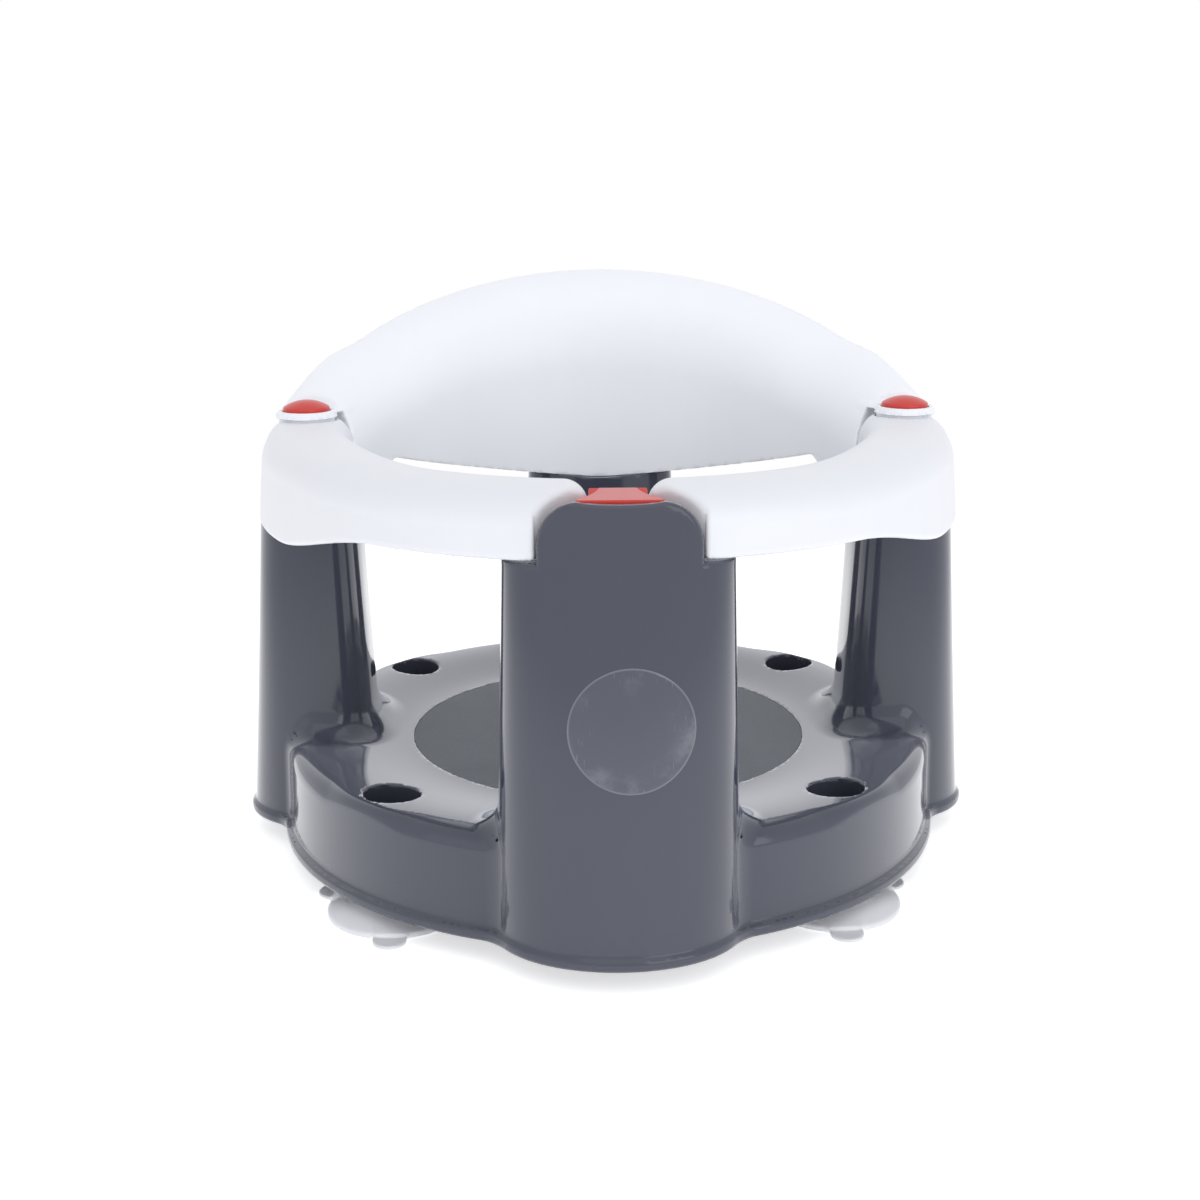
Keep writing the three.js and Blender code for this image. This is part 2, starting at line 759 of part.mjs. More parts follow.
function makeButton() {
  const edge = collarTop + buttonProud;
  const dome = [90, 68, 45, 22].map((turn) => [
    buttonRadius * Math.sin(turn * degrees), edge + buttonDome * Math.cos(turn * degrees),
  ]);
  const stemEnd = springSeat + buttonTravel + 1.5;
  const plunger = postRadius - postWall - gap;
  const cap = revolve([[0, stemEnd], [buttonStemRadius, stemEnd], [buttonStemRadius, springTop],
    [plunger, springTop], [plunger, buttonUnder], [buttonRadius, buttonUnder], ...dome,
    [0, edge + buttonDome]], middleRound);
  const pinHole = rod(lockPinRadius + pinClearance, -plunger - past, plunger + past, smallRound)
    .rotate([0, 90, 0]).translate([0, 0, lockPinHeight]);
  return cap.subtract(pinHole);
}

function makeLockPin() {
  const length = hubRadius - postWall - gap;
  return rod(lockPinRadius - pinClearance, -length, length, smallRound).rotate([0, 90, 0])
    .translate([0, 0, lockPinHeight]);
}

// A wound spring about the Z axis between two heights
function makeSpring(radius, low, high) {
  const steps = springCurls * stepsPerCurl;
  const points = Array.from({ length: steps + 1 }, (_, i) => {
    const turn = (2 * Math.PI * i) / stepsPerCurl;
    const z = mix(low + springWire, high - springWire, i / steps);
    return new THREE.Vector3(radius * Math.cos(turn), radius * Math.sin(turn), z);
  });
  const path = new THREE.CatmullRomCurve3(points);
  const half = springWire / 2;
  const section = new THREE.Shape([[half, 0], [0, half], [-half, 0], [0, -half]]
    .map(([x, y]) => new THREE.Vector2(x, y)));
  return solid(new THREE.ExtrudeGeometry(section, { steps, bevelEnabled: false, extrudePath: path }));
}

// A screw driven upwards, its head just under the given height
function makeScrew(under, length) {
  const headTop = under - gap;
  return revolve([[0, headTop - screwHeadHeight], [screwHeadRadius - 0.6, headTop - screwHeadHeight],
    [screwHeadRadius, headTop - screwHeadHeight + 0.8], [screwHeadRadius, headTop],
    [screwRadius, headTop], [screwRadius, headTop + length - 1], [0.4, headTop + length],
    [0, headTop + length]], smallRound);
}

const washerTop = sideHeight - wall - gap;

function makeWasher() {
  const bore = screwRadius + gap;
  return revolve([[bore, washerTop - washerThickness], [washerRadius, washerTop - washerThickness],
    [washerRadius, washerTop], [bore, washerTop], [bore, washerTop - washerThickness]], smallRound);
}

// Latch: a flat plate with hollowed sides and lowered rear corners, on a block that slides in the tower
const latchTop = shoulderTop + latchRise;

function makeLatch() {
  const plateBottom = latchTop - latchThickness;
  const frontY = -(columnOuter(shoulderTop) - archThickness - gap);
  const backY = -towerBack - 2;
  const depth = backY - frontY;
  const side = [[latchFrontHalf, 0.03], [16.4, 0.22], [13.4, 0.42], [11.6, 0.6], [11.3, 0.8],
    [latchBackHalf, 1]];
  const right = side.map(([x, t]) => [x, frontY + depth * t]);
  const left = side.map(([x, t]) => [-x, frontY + depth * t]).reverse();
  const plate = prism([[0, frontY], ...right, ...left], plateBottom, latchTop);
  const steps = [-1, 1].map((x) => rod(latchStepRadius, latchTop - latchStepDepth, latchTop + 1)
    .translate([x * latchBackHalf, backY, 0]));
  const inset = postWall + gap;
  const block = box(-stemHalf, stemHalf, -towerFront + inset, -towerBack - inset,
    shoulderHeight + latchBlockLow, plateBottom + past);
  return union(cut(plate, ...steps), block);
}

function makeCarrier() {
  const low = carrierTop - carrierThickness;
  const plate = box(-carrierHalfLength, carrierHalfLength, carrierScrewY - carrierHalfWidth,
    carrierScrewY + carrierHalfWidth, low, carrierTop);
  const stub = rod(latchSpringRadius - springWire, low + past, carrierTop + springStub, smallRound)
    .translate([0, carrierScrewY, 0]);
  const holes = [-1, 1].map((side) => rod(screwHole, low - past, carrierTop + past, smallRound)
    .translate([side * carrierScrewX, carrierScrewY, 0]));
  return cut(plate.add(stub), ...holes);
}

function makeCup(turn) {
  const knobLow = wellBottom + wellFloor + gap;
  const body = revolve([[0, cupHollow], [cupRadius / 2, cupHollow - cupRim], [cupRadius - cupRim, 0],
    [cupRadius, 0], [cupRadius, cupEdge], [cupRadius * 0.65, cupHollow], [cupHubRadius, cupHollow + cupCrown],
    [cupHubRadius, cupHubHeight], [cupNeckRadius, cupHubHeight], [cupNeckRadius, knobLow],
    [cupKnobRadius, knobLow + cupKnobHeight / 6], [cupKnobRadius, knobLow + cupKnobHeight / 2],
    [cupKnobRadius * 0.6, knobLow + cupKnobHeight], [0, knobLow + cupKnobHeight]], middleRound);
  const tabs = [0, 120, 240].map((step) => {
    const end = cupRadius + cupTabLength - cupTabWidth / 2;
    const high = cupEdge - cupTabLift;
    const strip = box(cupRadius - cupRim, end, -cupTabWidth / 2, cupTabWidth / 2, cupTabLift, high);
    const round = rod(cupTabWidth / 2, cupTabLift, high, middleRound).translate([end, 0, 0]);
    return strip.add(round).rotate([0, 0, turn + step]);
  });
  return union(body, ...tabs);
}

add('base_shell', makeBase(), greyGloss);
add('seat_mat', makeMat(), matGrey);
add('backrest', makeBackrest(), whiteGloss);
const rightArm = makeArm();
add('right_arm', rightArm, whiteGloss);
add('left_arm', rightArm.mirror([1, 0, 0]), whiteGloss);

[['left', -1], ['right', 1]].forEach(([name, side]) => {
  const x = side * pivotX;
  add(`${name}_button`, makeButton(), redGloss, x, pivotY);
  add(`${name}_lock_pin`, makeLockPin(), steel, x, pivotY);
  add(`${name}_button_spring`, makeSpring(buttonSpringRadius, springSeat, springTop), steel, x, pivotY);
  add(`${name}_hinge_washer`, makeWasher(), steel, x, pivotY);
  add(`${name}_hinge_screw`, makeScrew(washerTop - washerThickness, hingeScrewReach), steel, x, pivotY);
});

const latchMiddle = -(towerFront + towerBack) / 2;
add('front_latch', makeLatch(), redGloss);
const latchCoil = makeSpring(latchSpringRadius, carrierTop, shoulderHeight + latchBlockLow);
add('latch_spring', latchCoil, steel, 0, latchMiddle);
add('latch_carrier', makeCarrier(), innerGrey);
[['left', -1], ['right', 1]].forEach(([name, side]) => {
  add(`latch_carrier_screw_${name}`, makeScrew(carrierTop - carrierThickness, carrierScrewReach), steel,
    side * carrierScrewX, carrierScrewY);
});
backScrews.forEach(({ name, x, y, z }) => {
  add(`backrest_screw_${name}`, makeScrew(z - wall, backScrewReach), steel, x, y);
});
wells.forEach((well) => {
  add(`suction_cup_${well.name}`, makeCup(well.turn), clearSoft, well.x, well.y);
});

export default group;
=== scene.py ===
# Baby bath seat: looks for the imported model, in metres, +Z up, the seat faces -Y
import functools
import math

import bmesh
import bpy
import numpy as np
from mathutils import Matrix, Vector


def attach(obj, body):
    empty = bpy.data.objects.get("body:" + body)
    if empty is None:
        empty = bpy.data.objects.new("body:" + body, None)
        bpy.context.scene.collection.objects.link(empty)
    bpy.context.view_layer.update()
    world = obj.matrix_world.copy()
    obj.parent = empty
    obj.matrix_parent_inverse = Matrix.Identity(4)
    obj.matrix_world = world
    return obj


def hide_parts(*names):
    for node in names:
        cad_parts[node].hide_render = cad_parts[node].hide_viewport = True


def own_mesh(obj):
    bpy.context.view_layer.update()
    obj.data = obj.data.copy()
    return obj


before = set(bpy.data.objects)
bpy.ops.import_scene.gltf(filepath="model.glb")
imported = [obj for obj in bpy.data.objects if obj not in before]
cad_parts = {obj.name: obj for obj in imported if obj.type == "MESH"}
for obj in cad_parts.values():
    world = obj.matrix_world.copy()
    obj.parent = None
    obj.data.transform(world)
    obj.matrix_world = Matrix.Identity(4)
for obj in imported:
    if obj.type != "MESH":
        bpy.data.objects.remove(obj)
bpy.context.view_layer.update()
mm = 0.001

camera = {
    "distance": 835.0, "elevation": 14.91, "turn": 1.5, "roll": 0.21, "side": -3.8, "height": 119.0,
    "lens": 50.77, "sensor": 36.0, "clipNear": 0.05, "clipFar": 20
}


def linked(name, data):
    obj = bpy.data.objects.new(name, data)
    bpy.context.scene.collection.objects.link(obj)
    return obj


def makeCamera(c):
    rise, turn, roll = (math.radians(c[k]) for k in ("elevation", "turn", "roll"))
    forward = Vector((0, math.cos(rise), -math.sin(rise)))
    upward = Vector((0, math.sin(rise), math.cos(rise)))
    right = Vector((1, 0, 0))
    place = Vector((c["side"], 0, c["height"])) - c["distance"] * forward
    across = math.cos(roll) * right - math.sin(roll) * upward
    up = math.sin(roll) * right + math.cos(roll) * upward
    axes = Matrix((across, up, -forward)).transposed()
    unturn = Matrix.Rotation(-turn, 3, "Z")
    data = bpy.data.cameras.new("camera")
    data.lens = c["lens"]
    data.sensor_width = c["sensor"]
    data.clip_start = c["clipNear"]
    data.clip_end = c["clipFar"]
    obj = linked("camera", data)
    obj.matrix_world = Matrix.Translation(unturn @ place * mm) @ (unturn @ axes).to_4x4()
    bpy.context.scene.camera = obj


makeCamera(camera)
print("stage: camera")

# Fields are distances to a surface in millimetres, negative inside the plastic
tiny = 1e-9
deepest = -40
fine, crisp, eased, soft, dull = 0.2, 0.3, 0.4, 0.5, 0.8  # edge radii that many forms share


def smooth(value, start, end):
    t = np.clip((value - start) / (end - start), 0, 1)
    return t * t * (3 - 2 * t)


def mix(a, b, t):
    return a + (b - a) * t


def both(a, b, radius):  # what lies inside a and b, its edge rounded
    rounded = np.hypot(np.maximum(a + radius, 0), np.maximum(b + radius, 0))
    return np.minimum(np.maximum(a, b), -radius) + rounded


def within(*fields):  # what lies inside all of them, its edges sharp
    return functools.reduce(np.maximum, fields)


def join(a, b, radius):  # a and b together, with a fillet between them
    return -both(-a, -b, radius)


def cut(a, b, radius):  # a without b
    return both(a, -b, radius)


def oval(a, b, halfA, halfB, power):
    u = np.abs(a) / halfA
    v = np.abs(b) / halfB
    total = u ** power + v ** power + tiny
    size = total ** (1 / power)
    slope = size / total * np.hypot(u ** (power - 1) / halfA, v ** (power - 1) / halfB) + 1e-6
    return np.maximum((size - 1) / slope, deepest)


def disc(x, y, cx, cy, radius):
    return np.hypot(x - cx, y - cy) - radius


def slab(z, low, high):
    return np.abs(z - (low + high) / 2) - (high - low) / 2


def brick(x, y, z, low, high, radius):
    q = [np.abs(v - (a + b) / 2) - (b - a) / 2 + radius for v, a, b in zip((x, y, z), low, high)]
    outside = np.sqrt(sum(np.maximum(v, 0) ** 2 for v in q))
    return outside + np.minimum(np.maximum(q[0], np.maximum(q[1], q[2])), 0) - radius


net = {
    "nudge": 0.04, "hold": 0.012, "reach": 0.9, "passes": 2, "slopeFloor": 0.3, "stride": 0.4,
    "crease": (0.08, 0.32)
}


def slopeOf(field, p):
    here = field(*p.T)
    rise = [field(*(p + net["nudge"] * np.eye(3)[k]).T) - here for k in range(3)]
    return here, np.stack(rise, axis=1) / net["nudge"]


def unit(v):
    return v / np.maximum(np.linalg.norm(v, axis=1), tiny)[:, None]


def netSurface(field, values, origin, step):
    # one point for each crossed cell, set where the planes of its crossings meet,
    # and one square for each crossed edge
    inside = values < 0
    n = np.array(values.shape) - 1
    corners = [(i, j, k) for i in (0, 1) for j in (0, 1) for k in (0, 1)]
    count = sum(inside[i:i + n[0], j:j + n[1], k:k + n[2]].astype(np.int8) for i, j, k in corners)
    cells = np.argwhere((count > 0) & (count < 8))
    number = np.full(n, -1, dtype=np.int32)
    number[tuple(cells.T)] = np.arange(len(cells))
    sums = np.zeros((13, len(cells)))
    squares = []
    for axis in range(3):
        u, w = (axis + 1) % 3, (axis + 2) % 3
        low = [slice(1, n[k]) for k in range(3)]
        low[axis] = slice(0, n[axis])
        high = list(low)
        high[axis] = slice(1, n[axis] + 1)
        at = np.argwhere(inside[tuple(low)] != inside[tuple(high)])
        at[:, u] += 1
        at[:, w] += 1
        ahead = at + np.eye(3, dtype=int)[axis]
        a, b = values[tuple(at.T)], values[tuple(ahead.T)]
        t = (a / (a - b)).astype(float)
        here, slope = slopeOf(field, origin + step * (at + t[:, None] * np.eye(3)[axis]))
        t = np.clip(t - here / (b - a), 0, 1)
        point = at + t[:, None] * np.eye(3)[axis]
        normal = unit(slope)
        reach = (normal * point).sum(axis=1)
        parts = [*point.T, np.ones(len(at))]
        parts += [normal[:, i] * normal[:, j] for i, j in ((0, 0), (1, 1), (2, 2), (0, 1), (0, 2), (1, 2))]
        parts += list(normal.T * reach)
        around = []
        for du, dw in ((1, 1), (0, 1), (0, 0), (1, 0)):
            c = at.copy()
            c[:, u] -= du
            c[:, w] -= dw
            cell = number[tuple(c.T)]
            around.append(cell)
            for k, part in enumerate(parts):
                sums[k] += np.bincount(cell, part, len(cells))
        outward = inside[tuple(at.T)][:, None]
        squares.append(np.where(outward, np.stack(around, axis=1), np.stack(around[::-1], axis=1)))
    hits = sums[3]
    centre = sums[:3].T / hits[:, None]
    xx, yy, zz, xy, xz, yz = sums[4:10]
    spreads = np.stack([xx, xy, xz, xy, yy, yz, xz, yz, zz], axis=1).reshape(-1, 3, 3)
    wanted = sums[10:13].T - np.einsum("nij,nj->ni", spreads, centre)
    spreads = spreads + net["hold"] * hits[:, None, None] * np.eye(3)
    shift = np.linalg.solve(spreads, wanted[:, :, None])[:, :, 0]
    shift *= np.minimum(1, net["reach"] / np.maximum(np.abs(shift).max(axis=1), tiny))[:, None]
    return origin + step * (centre + shift), np.concatenate(squares)


def meshFrom(name, points, squares, normals):
    mesh = bpy.data.meshes.new(name)
    mesh.from_pydata((points * mm).tolist(), [], squares.tolist())
    mesh.shade_smooth()
    mesh.normals_split_custom_set(normals.reshape(-1, 3).tolist())
    return linked(name, mesh)


finished = {}


def moulded(name, field, values, mirrored=False):
    step = values["step"]
    low, high = (np.array(corner, float) for corner in values["box"])
    axes = [np.arange(a, b + step, step) for a, b in zip(low, high)]
    grid = np.meshgrid(*[a.astype(np.float32) for a in axes], indexing="ij")
    samples = field(*grid).astype(np.float32)
    shape = field
    if mirrored:
        samples = np.concatenate([samples[:0:-1], samples])
        low = np.array([-axes[0][-1], low[1], low[2]])

        def shape(x, y, z):
            return field(np.abs(x), y, z)
    points, squares = netSurface(shape, samples, low, step)
    for _ in range(net["passes"]):
        here, slope = slopeOf(shape, points)
        steep = np.maximum((slope ** 2).sum(axis=1), net["slopeFloor"])
        move = here[:, None] * slope / steep[:, None]
        length = np.linalg.norm(move, axis=1)[:, None]
        points = points - move * np.minimum(1, net["stride"] * step / np.maximum(length, tiny))
    smoothNormals = unit(slopeOf(shape, points)[1])[squares]
    faceNormals = np.repeat(unit(slopeOf(shape, points[squares].mean(axis=1))[1])[:, None], 4, axis=1)
    creased = smooth(1 - (smoothNormals * faceNormals).sum(axis=2, keepdims=True), *net["crease"])
    normals = unit(mix(smoothNormals, faceNormals, creased).reshape(-1, 3)).reshape(smoothNormals.shape)
    finished[name] = (points, squares, normals)
    return meshFrom(name, points, squares, normals)


def mirroredCopy(source, name):
    points, squares, normals = finished[source]
    flip = np.array([-1, 1, 1])
    return meshFrom(name, points * flip, squares[:, ::-1], normals[:, ::-1] * flip)


hinge = {
    "x": 144, "y": 4, "radius": 21.8, "top": 209.6, "dome": 10.2, "domeDrop": 15, "slim": 2.4, "slimRise": 29,
    "slimMost": 1.2, "slimSpan": (-4, 14), "hole": 8.35, "holeLow": 150
}
ring = {"outer": 163.6, "draft": 2.2, "inner": 124}
seam = {
    "rear": 157.35, "rise": 19.4, "riseEnd": 62, "riseAngle": 54, "power": 1.47, "side": 166.85,
    "sideSpan": (60, 71)
}
base = {
    "low": 10, "lipTop": 15, "lipOut": 3.4, "columnLip": 2.0, "wall": 3.4, "lobeTop": 157, "lobeFoot": 158.1,
    "crest": 9, "wellCrest": 4.5, "wellSpan": (15, 34), "deck": 57, "dish": 52.3, "dishReach": 97,
    "deckReach": 148, "mat": 97.05, "matFloor": 50.45, "matEdge": 0.15, "matWall": 1.85, "matSpan": (97, 103),
    "foot": 179.8, "footDraft": 0.0745, "face": 114.8, "faceDraft": 0.045, "sideDraft": 0.029, "centre": 142,
    "footPower": 2, "powerGain": 0.7, "innerPower": 3, "fillet": 14, "rearFillet": 19, "outerFillet": 4,
    "filletSpan": (146, 162), "topEdge": 1.4, "seam": 0.15, "lipFillet": 5, "lipEdge": 1.5, "lipRoot": 1.8,
    "step": 1.6, "box": ((0, -184, 8), (184, 184, 206))
}
shoulder = 176.8
columnTable = {
    "front": (-90, 52, shoulder, 0), "rear": (90, 44.6, 162, 0), "left": (180, 34.5, 166.5, -12),
    "right": (0, 34.5, 166.5, 12)
}
wellTable = {
    "front_left": (18.7, 224), "front_right": (18.7, -44), "rear_left": (15.5, 137.3),
    "rear_right": (15.5, 42.7)
}
well = {
    "tube": 15.2, "tubeLow": 15.95, "tubeEdge": 0.6, "cover": 1.8, "root": 1.2, "bore": 12.6, "floor": 18.95,
    "boreEdge": 1.1, "hub": 4.95
}
arch = {
    "top": 202.0, "dip": 1.1, "dipHalf": 18.5, "half": 33.2, "cornerWide": 17.0, "cornerHigh": 18.5,
    "wall": 3.1, "edge": 2.1, "rearEdge": 0.7, "low": 160
}
tower = {
    "outside": ((-11.4, -158, 174.2), (11.4, -133, 192.65)),
    "inside": ((-9.6, -156.2, 170), (9.6, -134.8, 200))
}
boss = {"x": 20, "y": -145.5, "radius": 4.3, "bore": 2, "span": (159.15, 175.5)}


def wellPlace(name):
    inset, angle = wellTable[name]
    reach = base["lobeTop"] - inset
    return reach * math.cos(math.radians(angle)), reach * math.sin(math.radians(angle))


def column(name, x, y, z, grow=0.0):
    angle, halfWidth, _, offset = columnTable[name]
    c, s = round(math.cos(math.radians(angle))), round(math.sin(math.radians(angle)))
    rise = np.maximum(z, base["lipTop"]) - base["lipTop"]
    out = x * c + y * s - base["centre"]
    across = y * c - x * s - offset
    half = halfWidth - base["sideDraft"] * rise + grow
    outer = base["foot"] - base["footDraft"] * rise + grow - base["centre"]
    inner = base["centre"] - base["face"] - base["faceDraft"] * rise + grow
    power = base["footPower"] + base["powerGain"] * rise / (shoulder - base["lipTop"])
    return np.where(out >= 0, oval(across, out, half, outer, power),
                    oval(across, out, half, inner, base["innerPower"]))


def fromRear(x, y):
    return np.abs(np.degrees(np.arctan2(x, y)))


def backLow(away):
    climb = (np.minimum(away, seam["riseEnd"]) / seam["riseAngle"]) ** seam["power"]
    middle = seam["rear"] + seam["rise"] * climb
    return mix(middle, seam["side"], smooth(away, *seam["sideSpan"]))


def baseBody(x, y, z):
    reach = np.hypot(x, y)
    dip = 1 - smooth(reach, base["dishReach"], base["deckReach"])
    deck = base["deck"] - (base["deck"] - base["dish"]) * dip
    fallen = (base["deck"] - z) / (base["deck"] - base["lipTop"])
    wallReach = mix(base["lobeTop"], base["lobeFoot"], fallen)
    nearWell = [disc(np.abs(x), y, *wellPlace(name), 0) for name in ("front_right", "rear_right")]
    crest = mix(base["wellCrest"], base["crest"], smooth(np.minimum(*nearWell), *base["wellSpan"]))
    body = both(z - deck, reach - wallReach, crest)
    for name, (_, _, top, _) in columnTable.items():
        edge, wide = base["topEdge"], base["fillet"]
        if name == "rear":
            top, edge, wide = backLow(fromRear(x, y)) - base["seam"], soft, base["rearFillet"]
        fillet = mix(wide, base["outerFillet"], smooth(reach, *base["filletSpan"]))
        body = join(body, both(column(name, x, y, z), z - top, edge), fillet)
    return body


def archOutline(x, z):
    width, height = arch["cornerWide"], arch["cornerHigh"]
    dx = np.abs(x) - (arch["half"] - width)
    dz = z - (arch["top"] - height)
    corner = oval(np.maximum(dx, 0), np.maximum(dz, 0), width, height, 2)
    dip = arch["dip"] * np.maximum(1 - (x / arch["dipHalf"]) ** 2, 0)
    return np.where(dx <= 0, z - arch["top"] + dip, np.where(dz <= 0, np.abs(x) - arch["half"], corner))


def baseField(x, y, z):
    reach = np.hypot(x, y)
    outside = baseBody(x, y, z)
    hollow = outside + base["wall"] + base["matWall"] * (1 - smooth(reach, *base["matSpan"]))
    body = cut(outside, within(reach - base["mat"], base["matFloor"] - z), base["matEdge"])
    body = both(body, base["low"] - z, dull)
    rim = reach - base["lobeFoot"] - base["lipOut"]
    for name in columnTable:
        lip = column(name, x, y, np.minimum(z, base["lipTop"]), base["columnLip"])
        rim = join(rim, lip, base["lipFillet"])
    rim = both(rim, slab(z, base["low"], base["lipTop"]), base["lipEdge"])
    body = cut(join(body, rim, base["lipRoot"]), hollow, soft)
    for name in wellTable:
        wx, wy = wellPlace(name)
        tube = both(disc(x, y, wx, wy, well["tube"]), well["tubeLow"] - z, well["tubeEdge"])
        body = join(body, within(tube, outside + well["cover"]), well["root"])
        body = cut(body, within(disc(x, y, wx, wy, well["bore"]), well["floor"] - z), well["boreEdge"])
        body = cut(body, disc(x, y, wx, wy, well["hub"]), crisp)
    front = column("front", x, y, z)
    plate = cut(both(front, archOutline(x, z), arch["edge"]), front + arch["wall"], arch["rearEdge"])
    body = np.minimum(body, within(plate, y + base["centre"], arch["low"] - z))
    shaft = brick(x, y, z, *tower["inside"], eased)
    walls = cut(brick(x, y, z, *tower["outside"], dull), shaft, eased)
    body = cut(np.minimum(body, walls), shaft, crisp)
    for side in (-1, 1):
        around = disc(x, y, side * boss["x"], boss["y"], 0)
        post = both(around - boss["radius"], slab(z, *boss["span"]), eased)
        body = np.minimum(body, cut(post, around - boss["bore"], crisp))
        hole = within(disc(x, y, side * hinge["x"], hinge["y"], hinge["hole"]), hinge["holeLow"] - z)
        body = cut(body, hole, soft)
    return body


baseShell = moulded("baseShell", baseField, base, mirrored=True)
print("stage: base shell", len(baseShell.data.vertices))

arm = {
    "top": 205.5, "low": 177.5, "innerRoll": 10, "outerRoll": 16, "crest": 0.36, "power": 2.3, "tip": 12.4,
    "tipRound": 9.5, "edge": 2, "plateSide": 33.5, "plateReach": 195.9, "sideRound": 2.2, "frontFrom": -60,
    "innerSpan": (10, 75), "lowSpan": (26.5, 52), "topSpan": (20, 55), "draftDrop": 25,
    "knuckleSpan": (1, 24), "wall": 3.2, "step": 1.2, "box": ((9, -170, 163), (170, 30, 213))
}
knuckle = {
    "tube": 13, "cap": 16.7, "capLow": 203.8, "hollowEdge": 0.9, "bore": 8.35, "recess": 14.05,
    "recessLow": 206.4, "groove": 11.2, "grooveSpan": (191.1, 198.9)
}


def rolled(reach, z, inner, crest, outer, top, innerRoll, outerRoll, power):
    a = np.where(reach < crest, crest - inner, outer - crest)
    b = np.where(reach < crest, innerRoll, outerRoll)
    return oval(reach - crest, np.maximum(z - (top - b), 0), a, b, power)


def armBody(x, y, z):
    reach = np.hypot(x, y)
    away = -np.degrees(np.arctan2(y, x))
    inner = mix(hinge["x"] - hinge["radius"], ring["inner"], smooth(away, *arm["innerSpan"]))
    low = mix(seam["side"], arm["low"], smooth(away, *arm["lowSpan"]))
    top = mix(hinge["top"], arm["top"], smooth(away, *arm["topSpan"]))
    fallen = np.clip((top - arm["outerRoll"] - z) / arm["draftDrop"], 0, 1)
    outer = ring["outer"] + ring["draft"] * fallen
    crest = inner + arm["crest"] * (ring["outer"] - inner)
    bar = rolled(reach, z, inner, crest, outer, top, arm["innerRoll"], arm["outerRoll"], arm["power"])
    around = np.hypot(x - hinge["x"], y - hinge["y"])
    middle = math.hypot(hinge["x"], hinge["y"])
    out = np.where(y > hinge["y"], around, np.abs(reach - middle))
    flat = hinge["radius"] - hinge["dome"]
    lift = np.maximum(z - (hinge["top"] - hinge["domeDrop"]), 0)
    slim = hinge["slim"] * np.clip((z - seam["side"]) / hinge["slimRise"], 0, hinge["slimMost"])
    slim = slim * smooth(reach - middle, *hinge["slimSpan"])
    dome = oval(np.maximum(out - flat + slim, 0), lift, hinge["dome"], hinge["domeDrop"], 2)
    body = mix(dome, bar, smooth(away, *arm["knuckleSpan"]))
    body = both(body, arm["tip"] - x, arm["tipRound"])
    behind = within(x - arm["plateSide"], arm["plateReach"] - around)
    body = np.where(y < arm["frontFrom"], cut(body, behind, arm["sideRound"]), body)
    return body, low, around


def armField(x, y, z):
    k = knuckle
    body, low, around = armBody(x, y, z)
    hollow = within(body + arm["wall"], -(around - k["tube"]), -within(around - k["cap"], k["capLow"] - z))
    solid = cut(both(body, low - z, arm["edge"]), hollow, k["hollowEdge"])
    solid = cut(solid, around - k["bore"], eased)
    solid = cut(solid, within(around - k["recess"], k["recessLow"] - z), soft)
    return cut(solid, within(around - k["groove"], slab(z, *k["grooveSpan"])), crisp)


rightArm = moulded("rightArm", armField, arm)
leftArm = mirroredCopy("rightArm", "leftArm")
print("stage: arms", len(rightArm.data.vertices))

back = {
    "top": 268.6, "dome": 82, "endTop": 217, "endSlope": 0.68, "endAngle": 82, "endSpan": (46, 62),
    "innerSpan": (20, 75), "crest": 166.6, "crestIn": (5, 20), "crestSpan": (58, 84), "crestGap": 1.5,
    "innerRoll": (52, 34), "innerRollSpan": (10, 75), "outerRoll": (8, 16), "outerRollSpan": (20, 76),
    "power": 2.2, "edge": 0.9, "wall": 3.6, "hollowEdge": 1.0, "swing": 22.9, "swingEdge": 2.0, "step": 1.6,
    "box": ((0, -14, 156), (169, 169, 271))
}
collar = {
    "plate": 14.6, "low": 210.3, "high": 212.3, "edge": 0.7, "root": 1.6, "radius": 13.7, "top": 213.8,
    "sunk": 1.2, "capEdge": 0.9, "bore": 11.45, "boreLow": 209.65, "boreEdge": 0.7, "boss": 13.35,
    "bossLow": 206.75, "post": 8, "postBore": 6.2, "postLow": 164.25, "springSeat": 184, "webLow": 5.8,
    "webHigh": 29.2, "webFillet": 2.5, "pilot": 2, "pilotTop": 176, "slotHalf": 1.55,
    "slotSpan": (191.6, 198.4), "slotReach": 10
}
backPad = {"places": ((22, 148, 157), (145, 34.8, 166.5)), "radius": 7, "height": 15, "pilot": 2, "depth": 12}


def backRaw(x, y, z, inset=0.0):
    reach = np.hypot(x, y)
    away = fromRear(x, y)
    dome = back["top"] - back["dome"] * (1 - np.cos(np.radians(away)))
    slope = back["endTop"] + back["endSlope"] * (back["endAngle"] - away)
    top = mix(dome, slope, smooth(away, *back["endSpan"]))
    low = backLow(away)
    inner = mix(ring["inner"], hinge["x"] - hinge["radius"], smooth(away, *back["innerSpan"]))
    crest = back["crest"] - mix(*back["crestIn"], smooth(away, *back["crestSpan"]))
    innerRoll = mix(*back["innerRoll"], smooth(away, *back["innerRollSpan"]))
    outerRoll = mix(*back["outerRoll"], smooth(away, *back["outerRollSpan"]))
    fallen = np.clip((top - outerRoll - z) / np.maximum(top - outerRoll - low, 1), 0, 1)
    outer = ring["outer"] + ring["draft"] * fallen - inset
    crest = np.minimum(crest, outer - back["crestGap"])
    return rolled(reach, z, inner + inset, crest, outer, top - inset, innerRoll - inset, outerRoll - inset,
                  back["power"]), low


